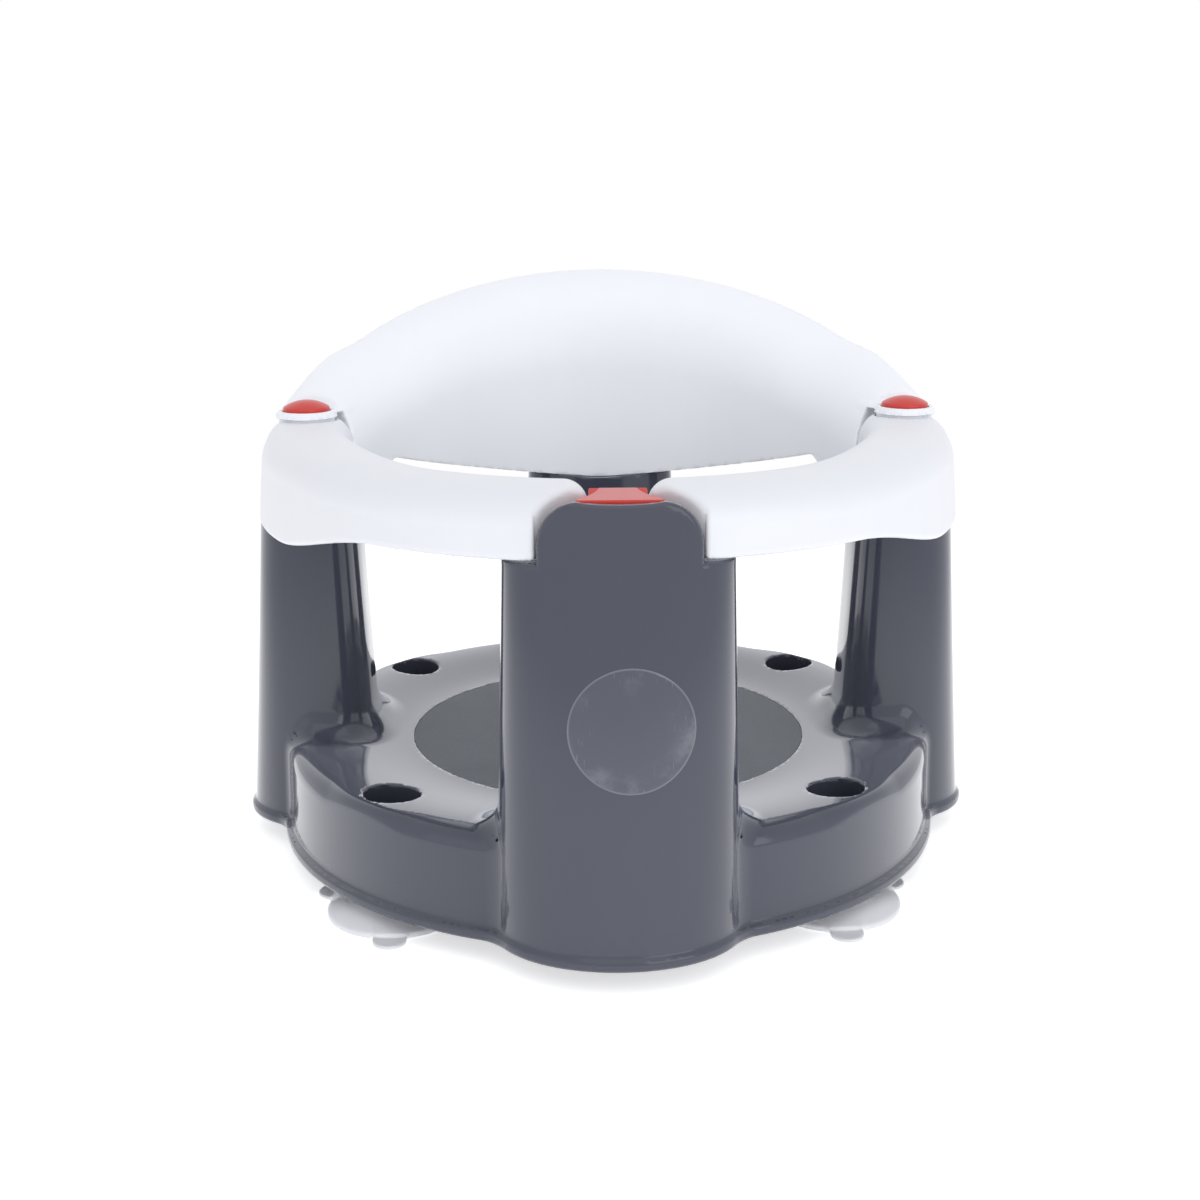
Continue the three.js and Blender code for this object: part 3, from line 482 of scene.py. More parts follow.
def backField(x, y, z):
    c = collar
    x = np.abs(x)
    raw, low = backRaw(x, y, z)
    around = np.hypot(x - hinge["x"], y - hinge["y"])
    beside = within(hinge["x"] - x, y - hinge["y"] - back["swing"])
    swing = np.minimum(np.minimum(around - back["swing"], beside), y - hinge["y"])
    body = cut(raw, swing, back["swingEdge"])
    hollow = within(backRaw(x, y, z, back["wall"])[0], back["wall"] - swing)
    solid = cut(both(body, low - z, back["edge"]), hollow, back["hollowEdge"])
    web = within(raw, c["webLow"] - y, y - c["webHigh"])
    plate = both(join(web, around - c["plate"], c["webFillet"]), slab(z, c["low"], c["high"]), c["edge"])
    cap = both(around - c["radius"], slab(z, c["low"] + c["sunk"], c["top"]), c["capEdge"])
    sleeve = both(around - c["boss"], slab(z, c["bossLow"], c["high"]), eased)
    post = both(around - c["post"], slab(z, c["postLow"], c["high"]), soft)
    solid = join(join(solid, plate, c["root"]), cap, c["capEdge"])
    solid = np.minimum(solid, np.minimum(sleeve, post))
    solid = cut(solid, within(around - c["bore"], c["boreLow"] - z), c["boreEdge"])
    solid = cut(solid, within(around - c["postBore"], c["springSeat"] - z), eased)
    solid = cut(solid, within(around - c["pilot"], z - c["pilotTop"]), fine)
    slot = within(np.abs(y - hinge["y"]) - c["slotHalf"], slab(z, *c["slotSpan"]))
    solid = np.where(around < c["slotReach"], cut(solid, slot, fine), solid)
    for sx, sy, sz in backPad["places"]:
        nearScrew = disc(x, y, sx, sy, 0)
        pad = both(nearScrew - backPad["radius"], slab(z, sz, sz + backPad["height"]), dull)
        solid = np.minimum(solid, within(pad, raw, low - z))
        solid = cut(solid, within(nearScrew - backPad["pilot"], z - sz - backPad["depth"]), crisp)
    return solid


backrest = moulded("backrestShell", backField, back, mirrored=True)
print("stage: backrest", len(backrest.data.vertices))

cup = {
    "radius": 31, "upperAt": [0, 9, 12, 20, 29.5, 31], "upper": [12, 11.2, 9.6, 6.0, 2.9, 2.4],
    "underAt": [0, 8, 15.5, 24, 29.5, 31], "under": [5.6, 5.3, 4.1, 1.9, 0.0, 0.0], "hub": 9, "hubTop": 15.6,
    "root": 8, "rootFillet": 2, "neck": 4.6, "neckTop": 22, "knob": 6.4, "knobLow": 19.3, "knobHeight": 6,
    "knobTaper": 0.09, "taperFrom": 22.3, "taperPower": 2.2, "tabs": (0, 120, 240), "tabReach": 34.5,
    "tabHalf": 7.5, "tabFrom": 27, "tabSpan": (0.3, 2.1), "tabEdge": 0.7, "tabFillet": 2.5, "step": 1.0,
    "box": ((-42, -42, -1), (44, 42, 27))
}
cupTurn = {"front_left": -90, "front_right": -88, "rear_left": 100, "rear_right": 60}


def cupField(x, y, z):
    r = np.hypot(x, y)
    upper = np.interp(r, cup["upperAt"], cup["upper"])
    under = np.interp(r, cup["underAt"], cup["under"])
    body = both(both(z - upper, r - cup["radius"], dull), under - z, eased)
    for angle in cup["tabs"]:
        c, s = math.cos(math.radians(angle)), math.sin(math.radians(angle))
        along, across = x * c + y * s, y * c - x * s
        end = np.hypot(np.maximum(along - cup["tabReach"], 0), across) - cup["tabHalf"]
        strip = both(within(end, cup["tabFrom"] - along), slab(z, *cup["tabSpan"]), cup["tabEdge"])
        body = join(body, strip, cup["tabFillet"])
    hub = both(r - cup["hub"], slab(z, cup["root"], cup["hubTop"]), dull)
    neck = both(r - cup["neck"], slab(z, cup["root"], cup["neckTop"]), crisp)
    knobReach = cup["knob"] - cup["knobTaper"] * np.maximum(z - cup["taperFrom"], 0) ** cup["taperPower"]
    knob = both(r - knobReach, slab(z, cup["knobLow"], cup["knobLow"] + cup["knobHeight"]), dull)
    return np.maximum(np.minimum(join(body, hub, cup["rootFillet"]), join(neck, knob, eased)), -z)


firstCup = moulded("suctionCup", cupField, cup)
cups = {}
for place, turn in cupTurn.items():
    made = linked("suctionCup_" + place, firstCup.data.copy())
    wx, wy = wellPlace(place)
    spun = Matrix.Rotation(math.radians(turn), 4, "Z")
    made.matrix_world = Matrix.Translation((wx * mm, wy * mm, 0)) @ spun
    cups[place] = made
print("stage: suction cups", len(firstCup.data.vertices))
bpy.data.objects.remove(firstCup)

button = {
    "radius": 11.1, "low": 213.0, "edge": 215.2, "rise": 3.4, "round": 0.6, "plunger": 5.85,
    "plungerLow": 193.8, "stem": 3.2, "stemLow": 188.5, "overlap": 1, "pinHole": 1.25, "pinHeight": 196.5,
    "holeEdge": 0.25, "step": 0.55, "box": ((-12, -12, 187.5), (12, 12, 219.5))
}
pin = {"radius": 1.1, "half": 10.85, "edge": 0.35, "step": 0.3, "box": ((-12, -2, 194.6), (12, 2, 198.6))}


def buttonField(x, y, z):
    b = button
    r = np.hypot(x, y)
    ball = (b["radius"] ** 2 + b["rise"] ** 2) / (2 * b["rise"])
    lens = np.hypot(r, z - (b["edge"] + b["rise"] - ball)) - ball
    head = both(both(lens, r - b["radius"], b["round"]), b["low"] - z, crisp)
    plunger = both(r - b["plunger"], slab(z, b["plungerLow"], b["low"] + b["overlap"]), eased)
    stem = both(r - b["stem"], slab(z, b["stemLow"], b["plungerLow"] + b["overlap"]), eased)
    body = np.minimum(join(head, plunger, soft), stem)
    return cut(body, np.hypot(y, z - b["pinHeight"]) - b["pinHole"], b["holeEdge"])


def pinField(x, y, z):
    return both(np.hypot(y, z - button["pinHeight"]) - pin["radius"], np.abs(x) - pin["half"], pin["edge"])


def inPlaces(source, places):
    made = {name: linked(name, source.data.copy()) for name in places}
    for name, (x, y, z) in places.items():
        made[name].matrix_world = Matrix.Translation((x * mm, y * mm, z * mm))
    bpy.data.objects.remove(source)
    return made


hinges = {"left": -hinge["x"], "right": hinge["x"]}


def atHinges(source, name):
    return inPlaces(source, {side + name: (x, hinge["y"], 0) for side, x in hinges.items()})


buttons = atHinges(moulded("button", buttonField, button), "ButtonCap")
pins = atHinges(moulded("pin", pinField, pin), "LockPin")
print("stage: buttons and pins")

spring = {"wire": 0.45, "curls": 4.5, "around": 18, "section": 10, "closed": 0.16}
buttonSpring = {"radius": 4.7, "low": 184, "high": 193.8}
latchSpring = {"radius": 5.0, "low": 158.8, "high": 178.8}


def solidMesh(name, points, faces, weld=0.0):
    mesh = bpy.data.meshes.new(name)
    mesh.from_pydata((np.array(points) * mm).tolist(), [], faces)
    shape = bmesh.new()
    shape.from_mesh(mesh)
    if weld:
        bmesh.ops.remove_doubles(shape, verts=shape.verts, dist=weld)
    bmesh.ops.recalc_face_normals(shape, faces=shape.faces)
    shape.to_mesh(mesh)
    shape.free()
    mesh.shade_smooth()
    return linked(name, mesh)


def strips(rows, n):  # squares between closed rows of n points
    return [(i * n + k, i * n + (k + 1) % n, (i + 1) * n + (k + 1) % n, (i + 1) * n + k)
            for i in range(rows - 1) for k in range(n)]


def coil(name, x, y, place):  # a compression spring with closed ends
    count = int(spring["curls"] * spring["around"])
    share = np.linspace(0, 1, count + 1)
    turn = 2 * math.pi * spring["curls"] * share
    end = spring["closed"]
    climb = np.clip((share - end) / (1 - 2 * end), 0, 1)
    inset = 2 * spring["wire"]
    lift = inset * np.where(share < end, share / end, np.where(share > 1 - end, (share - 1) / end, 0))
    low, high = place["low"] + spring["wire"], place["high"] - spring["wire"]
    rest = mix(low + inset, high - inset, climb)
    height = np.where(share < end, low + lift, np.where(share > 1 - end, high + lift, rest))
    path = np.stack([x + place["radius"] * np.cos(turn), y + place["radius"] * np.sin(turn), height], axis=1)
    ahead = np.gradient(path, axis=0)
    ahead /= np.linalg.norm(ahead, axis=1)[:, None]
    outward = np.stack([np.cos(turn), np.sin(turn), np.zeros_like(turn)], axis=1)
    upward = np.cross(ahead, outward)
    n = spring["section"]
    bend = np.linspace(0, 2 * math.pi, n, endpoint=False)
    circle = np.cos(bend)[None, :, None] * outward[:, None] + np.sin(bend)[None, :, None] * upward[:, None]
    points = (path[:, None] + spring["wire"] * circle).reshape(-1, 3)
    ends = [tuple(range(n))[::-1], tuple(count * n + k for k in range(n))]
    return solidMesh(name, points, strips(count + 1, n) + ends)


def turned(name, profile, count):  # a closed outline of (radius, height), spun about Z
    bend = np.linspace(0, 2 * math.pi, count, endpoint=False)
    points, rows = [], []
    for radius, height in profile:
        if radius < tiny:
            rows.append([len(points)] * count)
            points.append((0, 0, height))
        else:
            rows.append(list(range(len(points), len(points) + count)))
            points += [(radius * math.cos(b), radius * math.sin(b), height) for b in bend]
    faces = []
    closed = profile[0][0] > tiny
    for i in range(len(rows) if closed else len(rows) - 1):
        here, there = rows[i], rows[(i + 1) % len(rows)]
        for k in range(count):
            m = (k + 1) % count
            corner = [here[k], here[m], there[m], there[k]]
            face = [c for j, c in enumerate(corner) if c not in corner[:j]]
            if len(face) > 2:
                faces.append(face)
    return solidMesh(name, points, faces)


def roundedOutline(shape, inner=0, steps=3):
    outer, low, high, radius = (shape[key] for key in ("radius", "low", "high", "edge"))

    def arc(r, z, start):
        bends = [start + math.pi / 2 * k / steps for k in range(steps + 1)]
        return [(r + radius * math.cos(bend), z + radius * math.sin(bend)) for bend in bends]
    outline = arc(inner + radius, low + radius, math.pi) if inner else [(0, low)]
    outline += [(outer - 3 * radius, low)] + arc(outer - radius, low + radius, -math.pi / 2)
    outline += arc(outer - radius, high - radius, 0) + [(outer - 3 * radius, high)]
    return outline + (arc(inner + radius, high - radius, math.pi / 2) if inner else [(0, high)])


springs = {}
for side, x in hinges.items():
    name = side + "ButtonCoil"
    springs[name] = coil(name, x, hinge["y"], buttonSpring)
latchCoil = coil("latchCoil", 0, boss["y"], latchSpring)
washer = {"bore": 1.95, "radius": 12, "low": 161.95, "high": 163.55, "edge": 0.3, "around": 48}
washers = atHinges(turned("washer", roundedOutline(washer, washer["bore"]), washer["around"]), "Washer")
mat = {"radius": 96.95, "low": 50.8, "high": 52.3, "edge": 0.2, "around": 144}
seatMat = turned("seatMat", roundedOutline(mat), mat["around"])
print("stage: springs, washers and mat")

screw = {
    "radius": 1.6, "root": 1.25, "pitch": 1.1, "head": 3.1, "headHeight": 2.4, "headEdge": 1.0,
    "underEdge": 0.15, "point": 2.0, "tip": 0.45, "slotHalf": 0.42, "slotReach": 1.75, "slotDepth": 1.2,
    "slotDraft": 0.45, "slotEdge": 0.12, "threadSlope": 0.85, "overlap": 0.5, "step": 0.26, "boxHalf": 3.6,
    "boxLow": -3, "boxOver": 0.6
}
screwPlaces = {
    "hinge": (13.0, {"leftHingeScrew": (-144, 4, 161.6), "rightHingeScrew": (144, 4, 161.6)}),
    "carrier": (10.0, {"leftCarrierScrew": (-20, -145.5, 155.45), "rightCarrierScrew": (20, -145.5, 155.45)}),
    "backrest": (12.0, {"rearLeftBackrestScrew": (-22, 148, 154.05),
                        "rearRightBackrestScrew": (22, 148, 154.05),
                        "sideLeftBackrestScrew": (-145, 34.8, 163.55),
                        "sideRightBackrestScrew": (145, 34.8, 163.55)}),
}


def screwField(reach):
    def field(x, y, z):
        r = np.hypot(x, y)
        head = both(r - screw["head"], -screw["headHeight"] - z, screw["headEdge"])
        head = both(head, z, screw["underEdge"])
        down = (z + screw["headHeight"]) * screw["slotDraft"]
        arms = [within(np.abs(a) - screw["slotHalf"], np.abs(b) - screw["slotReach"] + down)
                for a, b in ((x, y), (y, x))]
        recess = within(np.minimum(*arms), z + screw["headHeight"] - screw["slotDepth"])
        climb = np.mod(z / screw["pitch"] - np.arctan2(y, x) / (2 * math.pi), 1)
        ridge = mix(screw["root"], screw["radius"], 1 - 2 * np.abs(climb - 0.5))
        pointed = screw["tip"] + (reach - z) * (screw["radius"] - screw["tip"]) / screw["point"]
        shank = (r - np.minimum(ridge, pointed)) * screw["threadSlope"]
        shank = within(shank, slab(z, -screw["overlap"], reach))
        return np.minimum(cut(head, recess, screw["slotEdge"]), shank)
    return field


screws = {}
for kind, (reach, places) in screwPlaces.items():
    half = screw["boxHalf"]
    screw["box"] = ((-half, -half, screw["boxLow"]), (half, half, reach + screw["boxOver"]))
    screws.update(inPlaces(moulded(kind + "Screw", screwField(reach), screw), places))
print("stage: screws", len(screws))

latch = {
    "front": -162.06, "back": -135.0, "low": 197.0, "scoopTop": 201.9, "scoopSlope": 0.4, "scoopReach": 5.5,
    "top": 202.2, "fall": 0.3, "side": 0.7, "share": [0.0, 0.1, 0.2, 0.3, 0.4, 0.5, 0.6, 0.7, 0.8, 0.9, 1.0],
    "half": [17.5, 17.2, 16.5, 14.9, 13.0, 12.0, 11.9, 11.9, 11.9, 11.9, 11.9],
    "padHalf": [17.5, 17.1, 16.2, 14.2, 12.4, 11.2, 10.3, 9.5, 8.8, 8.2, 7.8], "behindWall": 3.35,
    "block": ((-9.25, -155.85, 178.8), (9.25, -135.15, 198)), "blockEdge": 0.6, "step": 0.5,
    "box": ((0, -163.5, 177.5), (19.5, -133.5, 202.5))
}
carrier = {
    "plate": ((-26, -154.5, 155.8), (26, -136.5, 158.8)), "stub": 4.1, "stubTop": 162.8, "stubEdge": 0.6,
    "hole": 2.0, "edge": 0.7, "step": 0.7, "box": ((0, -156, 154.5), (27.5, -135, 164))
}


def latchField(x, y, z):
    x = np.abs(x)
    share = np.clip((y - latch["front"]) / (latch["back"] - latch["front"]), 0, 1)
    inside = within(column("front", x, y, z) + latch["behindWall"], latch["front"] - y)
    scoop = latch["scoopTop"] - latch["scoopSlope"] * np.clip(latch["back"] - y, 0, latch["scoopReach"])
    pad = latch["top"] - latch["fall"] * share
    layers = []
    for half, top, rim in (("half", scoop, crisp), ("padHalf", pad, soft)):
        plan = both(x - np.interp(share, latch["share"], latch[half]), y - latch["back"], latch["side"])
        layer = both(both(plan, inside, dull), z - top, rim)
        layers.append(both(layer, latch["low"] - z, soft))
    return join(join(*layers, crisp), brick(x, y, z, *latch["block"], latch["blockEdge"]), soft)


def carrierField(x, y, z):
    x = np.abs(x)
    low = carrier["plate"][0][2]
    stub = disc(x, y, 0, boss["y"], carrier["stub"])
    stub = both(stub, slab(z, low, carrier["stubTop"]), carrier["stubEdge"])
    hole = disc(x, y, boss["x"], boss["y"], carrier["hole"])
    plate = brick(x, y, z, *carrier["plate"], carrier["edge"])
    return cut(join(plate, stub, dull), hole, crisp)


latchButton = moulded("latchButton", latchField, latch, mirrored=True)
latchCarrier = moulded("latchCarrier", carrierField, carrier, mirrored=True)
print("stage: latch")

label = {
    "x": 4.2, "z": 110.6, "radius": 25.9, "thick": 0.22, "sink": 0.15, "rings": 14, "around": 72, "edge": 0.4,
    "edgeShare": 0.4, "skin": (-190.0, -120.0), "halvings": 40, "weld": 1e-6
}


def columnSkin(x, z):
    near, far = (np.full_like(x, y) for y in label["skin"])
    for _ in range(label["halvings"]):
        middle = (near + far) / 2
        within = baseBody(x, middle, z) < 0
        near, far = np.where(within, near, middle), np.where(within, middle, far)
    return (near + far) / 2


def clearLabel():
    n = label["around"]
    bend = np.linspace(0, 2 * math.pi, n, endpoint=False)
    reach = np.linspace(0, label["radius"] - label["edge"], label["rings"])
    reach = np.append(reach, label["radius"])
    x = label["x"] + np.outer(reach, np.cos(bend)).ravel()
    z = label["z"] + np.outer(reach, np.sin(bend)).ravel()
    y = columnSkin(x, z)
    onEdge = reach > label["radius"] - label["edge"] / 2
    proud = np.repeat(np.where(onEdge, label["edgeShare"], 1.0) * label["thick"], n)
    front = np.stack([x, y - proud, z], axis=1)
    rear = np.stack([x, y + label["sink"], z], axis=1)
    total, rows = len(x), len(reach)
    faces = []
    for a, b, c, d in strips(rows, n):
        faces += [(a, b, c, d), (total + d, total + c, total + b, total + a)]
    last = (rows - 1) * n
    for k in range(n):
        m = (k + 1) % n
        faces.append((last + k, last + m, total + last + m, total + last + k))
    return solidMesh("clearLabel", np.concatenate([front, rear]), faces, label["weld"])


roundLabel = clearLabel()
print("stage: label")


def put(tree, value, socket):
    if isinstance(value, bpy.types.NodeSocket):
        tree.links.new(value, socket)
    else:
        socket.default_value = value


def add(tree, kind, settings=None, **values):
    node = tree.nodes.new("ShaderNode" + kind)
    for key, value in (settings or {}).items():
        setattr(node, key, value)
    for key, value in values.items():
        put(tree, value, node.inputs[key.replace("_", " ")])
    return node


def worked(tree, kind, how, *values):
    node = add(tree, kind, {"operation": how})
    for value, socket in zip(values, node.inputs):
        put(tree, value, socket)
    return node.outputs


def sums(tree, how, *values):
    return worked(tree, "Math", how, *values)[0]


def blended(tree, factor, first, second):
    node = add(tree, "Mix", {"data_type": "RGBA"})
    for index, value in ((0, factor), (6, first), (7, second)):
        put(tree, value, node.inputs[index])
    return node.outputs[2]


def spread(tree, value, fromMin, fromMax, toMin, toMax):
    return add(tree, "MapRange", {"interpolation_type": "SMOOTHSTEP"}, Value=value, From_Min=fromMin,
               From_Max=fromMax, To_Min=toMin, To_Max=toMax).outputs[0]


def newGroup(name, inputs, outputs):
    group = bpy.data.node_groups.new(name, "ShaderNodeTree")
    for title, value in inputs.items():
        kind = "Color" if isinstance(value, tuple) else "Float"
        socket = group.interface.new_socket(title, in_out="INPUT", socket_type="NodeSocket" + kind)
        socket.default_value = value
    for title, kind in outputs.items():
        group.interface.new_socket(title, in_out="OUTPUT", socket_type="NodeSocket" + kind)
    return group, group.nodes.new("NodeGroupInput").outputs, group.nodes.new("NodeGroupOutput").inputs


def resinToneGroup():  # slow drift of tone across a moulding, and faint flow streaks along its height
    flow = {"tall": (1.0, 1.0, 0.12), "scale": 90.0}
    group, ins, outs = newGroup("resinTone", {"Colour": (0.5, 0.5, 0.5, 1), "Drift": 0.04, "Streaks": 0.02,
                                              "Scale": 14.0}, {"Colour": "Color"})
    where = add(group, "TexCoord").outputs["Object"]
    cloud = add(group, "TexNoise", Vector=where, Scale=ins["Scale"], Detail=3.0).outputs["Fac"]
    tall = add(group, "Mapping", Vector=where, Scale=flow["tall"]).outputs["Vector"]
    streak = add(group, "TexNoise", Vector=tall, Scale=flow["scale"], Detail=2.0).outputs["Fac"]
    drift, streaks = (sums(group, "MULTIPLY", ins[name], 2.0) for name in ("Drift", "Streaks"))
    first = sums(group, "MULTIPLY_ADD", sums(group, "SUBTRACT", cloud, 0.5), drift, 1.0)
    second = sums(group, "MULTIPLY", sums(group, "SUBTRACT", streak, 0.5), streaks)
    tone = sums(group, "ADD", first, second)
    scaled = add(group, "VectorMath", {"operation": "SCALE"}, Scale=tone)
    put(group, ins["Colour"], scaled.inputs[0])
    put(group, scaled.outputs[0], outs["Colour"])
    return group


def handlingGroup():  # smudges and hairline scratches that dull a gloss
    smudged, scratched = (0.48, 0.72), (0.68, 0.74)
    hair = {"turns": ((0.3, 0.5, 0.2), (1.1, -0.4, 0.9)), "stretch": (14.0, 1.0, 1.0), "scale": 95.0}
    group, ins, outs = newGroup("handlingMarks", {"Gloss": 0.2, "Smudge": 0.08, "Scratch": 0.1,
                                                  "Scale": 30.0}, {"Roughness": "Float", "Marks": "Float"})
    where = add(group, "TexCoord").outputs["Object"]
    patch = add(group, "TexNoise", Vector=where, Scale=ins["Scale"], Detail=4.0, Roughness=0.6).outputs["Fac"]
    smudge = spread(group, patch, *smudged, 0.0, 1.0)
    hairs = []
    for turn in hair["turns"]:
        laid = add(group, "Mapping", Vector=where, Rotation=turn, Scale=hair["stretch"]).outputs["Vector"]
        noise = add(group, "TexNoise", Vector=laid, Scale=hair["scale"], Detail=2.0).outputs["Fac"]
        hairs.append(spread(group, noise, *scratched, 0.0, 1.0))
    scratch = sums(group, "MAXIMUM", *hairs)
    rough = sums(group, "MULTIPLY_ADD", smudge, ins["Smudge"], ins["Gloss"])
    put(group, sums(group, "MULTIPLY_ADD", scratch, ins["Scratch"], rough), outs["Roughness"])
    put(group, sums(group, "MAXIMUM", smudge, scratch), outs["Marks"])
    return group


def mouldGrainGroup():  # orange peel of a polished mould, or pebbles of an etched one
    perMetre, slowScale, pitted = 1000.0, 40.0, (0.15, 0.75)
    group, ins, outs = newGroup("mouldGrain", {"Size": 1.2, "Pebble": 0.0, "Wave": 0.3}, {"Height": "Float"})
    where = add(group, "TexCoord").outputs["Object"]
    scale = sums(group, "DIVIDE", perMetre, ins["Size"])
    peel = add(group, "TexNoise", Vector=where, Scale=scale, Detail=1.0).outputs["Fac"]
    cells = add(group, "TexVoronoi", {"feature": "SMOOTH_F1"}, Vector=where, Scale=scale).outputs["Distance"]
    slow = add(group, "TexNoise", Vector=where, Scale=slowScale, Detail=1.0).outputs["Fac"]
    pits = spread(group, cells, *pitted, 0.0, 1.0)
    mixed = add(group, "Mix", A=peel, B=pits)
    put(group, ins["Pebble"], mixed.inputs["Factor"])
    put(group, sums(group, "MULTIPLY_ADD", slow, ins["Wave"], mixed.outputs[0]), outs["Height"])
    return group


groups = {"tone": resinToneGroup(), "marks": handlingGroup(), "grain": mouldGrainGroup()}

finishes = {
    "greyMoulding": {
        "colour": (0.058, 0.062, 0.086), "drift": 0.05, "streaks": 0.035, "gloss": 0.1, "smudge": 0.05,
        "scratch": 0.05, "grain": 1.6, "bump": 0.03, "coat": 1.0, "coatRough": 0.05, "coatIor": 2.2,
        "upright": 0.45, "veil": 1.0, "veilRough": 0.3, "veilTint": (0.82, 0.88, 1.0)
    },
    "whiteMoulding": {
        "colour": (0.81, 0.82, 0.85), "drift": 0.015, "streaks": 0.01, "gloss": 0.36, "smudge": 0.06,
        "scratch": 0.04, "grain": 1.6, "bump": 0.03, "coat": 0.15, "upright": 1.0, "coatRough": 0.3,
        "coatIor": 1.5
    },
    "redMoulding": {
        "colour": (0.6, 0.04, 0.028), "drift": 0.05, "streaks": 0.02, "gloss": 0.3, "smudge": 0.04,
        "scratch": 0.02, "grain": 1.2, "bump": 0.03, "coat": 0.1, "upright": 1.0, "coatRough": 0.1,
        "coatIor": 1.5
    },
    "mattePad": {
        "colour": (0.15, 0.162, 0.178), "drift": 0.06, "streaks": 0.0, "gloss": 0.62, "smudge": 0.08,
        "scratch": 0.03, "grain": 0.9, "pebble": 1.0, "bump": 0.35
    },
    "innerMoulding": {
        "colour": (0.26, 0.27, 0.3), "drift": 0.05, "streaks": 0.03, "gloss": 0.42, "smudge": 0.08,
        "scratch": 0.06, "grain": 0.8, "pebble": 0.4, "bump": 0.12
    },
    "milkySilicone": {
        "colour": (0.86, 0.87, 0.89), "drift": 0.03, "streaks": 0.0, "gloss": 0.28, "smudge": 0.12,
        "scratch": 0.03, "grain": 0.8, "bump": 0.05, "bumpHeight": 0.0003, "through": 0.22, "ior": 1.41
    },
}
# painted light: a lit copy of the white moulding, its colour painted paler to stand in for light that falls
# short on the backrest's inner face
finishes["paintedLitWhite"] = {**finishes["whiteMoulding"], "colour": (0.92, 0.935, 0.965)}
skinSheen = {"blend": 0.35, "rim": (0.1, 0.7), "level": (0.6, 0.98), "veil": (0.8, 0.98)}


def placeGroup(tree, name, **values):
    node = tree.nodes.new("ShaderNodeGroup")
    node.node_tree = groups[name]
    for key, value in values.items():
        put(tree, value, node.inputs[key])
    return node.outputs


def fix(inputs, values):
    for name, value in values.items():
        inputs[name].default_value = value


def startMaterial(name):
    material = bpy.data.materials.new(name)
    material.use_nodes = True
    tree = material.node_tree
    return material, tree, tree.nodes["Principled BSDF"].inputs


def toned(name, f):
    material, tree, inputs = startMaterial(name)
    tone = placeGroup(tree, "tone", Colour=(*f["colour"], 1), Drift=f["drift"], Streaks=f["streaks"],
                      Scale=f.get("toneScale", 14.0))
    marks = placeGroup(tree, "marks", Gloss=f["gloss"], Smudge=f["smudge"], Scratch=f["scratch"],
                       Scale=f.get("markScale", 30.0))
    put(tree, tone["Colour"], inputs["Base Color"])
    put(tree, marks["Roughness"], inputs["Roughness"])
    return material, tree, inputs, tone["Colour"], marks["Marks"]


def raised(tree, inputs, f, height):
    bump = add(tree, "Bump", Strength=f["bump"], Distance=f.get("bumpHeight", 0.0004), Height=height)
    put(tree, bump.outputs[0], inputs["Normal"])


def mouldedPlastic(name):
    f = finishes[name]
    material, tree, inputs, _, _ = toned(name, f)
    raised(tree, inputs, f, placeGroup(tree, "grain", Size=f["grain"], Pebble=f.get("pebble", 0.0))["Height"])
    if "coat" in f:  # the skin's gloss rises where it is seen at a flat angle
        facing = add(tree, "LayerWeight", Blend=skinSheen["blend"]).outputs["Facing"]
        facingUp = add(tree, "SeparateXYZ", Vector=add(tree, "NewGeometry").outputs["Normal"]).outputs["Z"]
        level = spread(tree, facingUp, *skinSheen["level"], f["upright"], 1.0)
        rim = spread(tree, facing, *skinSheen["rim"], 0.0, f["coat"])
        put(tree, sums(tree, "MULTIPLY", level, rim), inputs["Coat Weight"])
        fix(inputs, {"Coat Roughness": f["coatRough"], "Coat IOR": f["coatIor"]})
    if "veil" in f:  # a fine dry film on what faces up
        put(tree, spread(tree, facingUp, *skinSheen["veil"], 0.0, f["veil"]), inputs["Sheen Weight"])
        fix(inputs, {"Sheen Roughness": f["veilRough"], "Sheen Tint": (*f["veilTint"], 1)})
    if "through" in f:
        fix(inputs, {"Transmission Weight": f["through"], "IOR": f["ior"]})
    return material


steel = {
    "colour": (0.58, 0.59, 0.61), "drift": 0.08, "streaks": 0.03, "toneScale": 120.0, "gloss": 0.22,
    "smudge": 0.14, "scratch": 0.1, "markScale": 160.0, "ringScale": 900.0, "ringWander": 1.5, "bump": 0.06,
    "bumpHeight": 0.0001
}


def brightSteel():  # drawn and turned, with a zinc bloom
    material, tree, inputs, _, _ = toned("zincSteel", steel)
    where = add(tree, "TexCoord").outputs["Object"]
    rings = add(tree, "TexWave", {"wave_type": "RINGS", "rings_direction": "Z"}, Vector=where,
               Scale=steel["ringScale"], Distortion=steel["ringWander"])
    raised(tree, inputs, steel, rings.outputs["Fac"])
    fix(inputs, {"Metallic": 1.0})
    return material


# the pale colour, the rim band and the patch values below paint a highlight onto the label
film = {
    "colour": (0.068, 0.073, 0.098), "paintedHighlight": (0.3, 0.31, 0.35), "drift": 0.05, "streaks": 0.0, "gloss": 0.12,
    "smudge": 0.14, "scratch": 0.04, "markScale": 55.0, "rim": (1.1, 0.3), "rimHighlight": 0.35, "patchFrom": 0.5,
    "patchHighlight": 0.35, "coat": 0.3
}


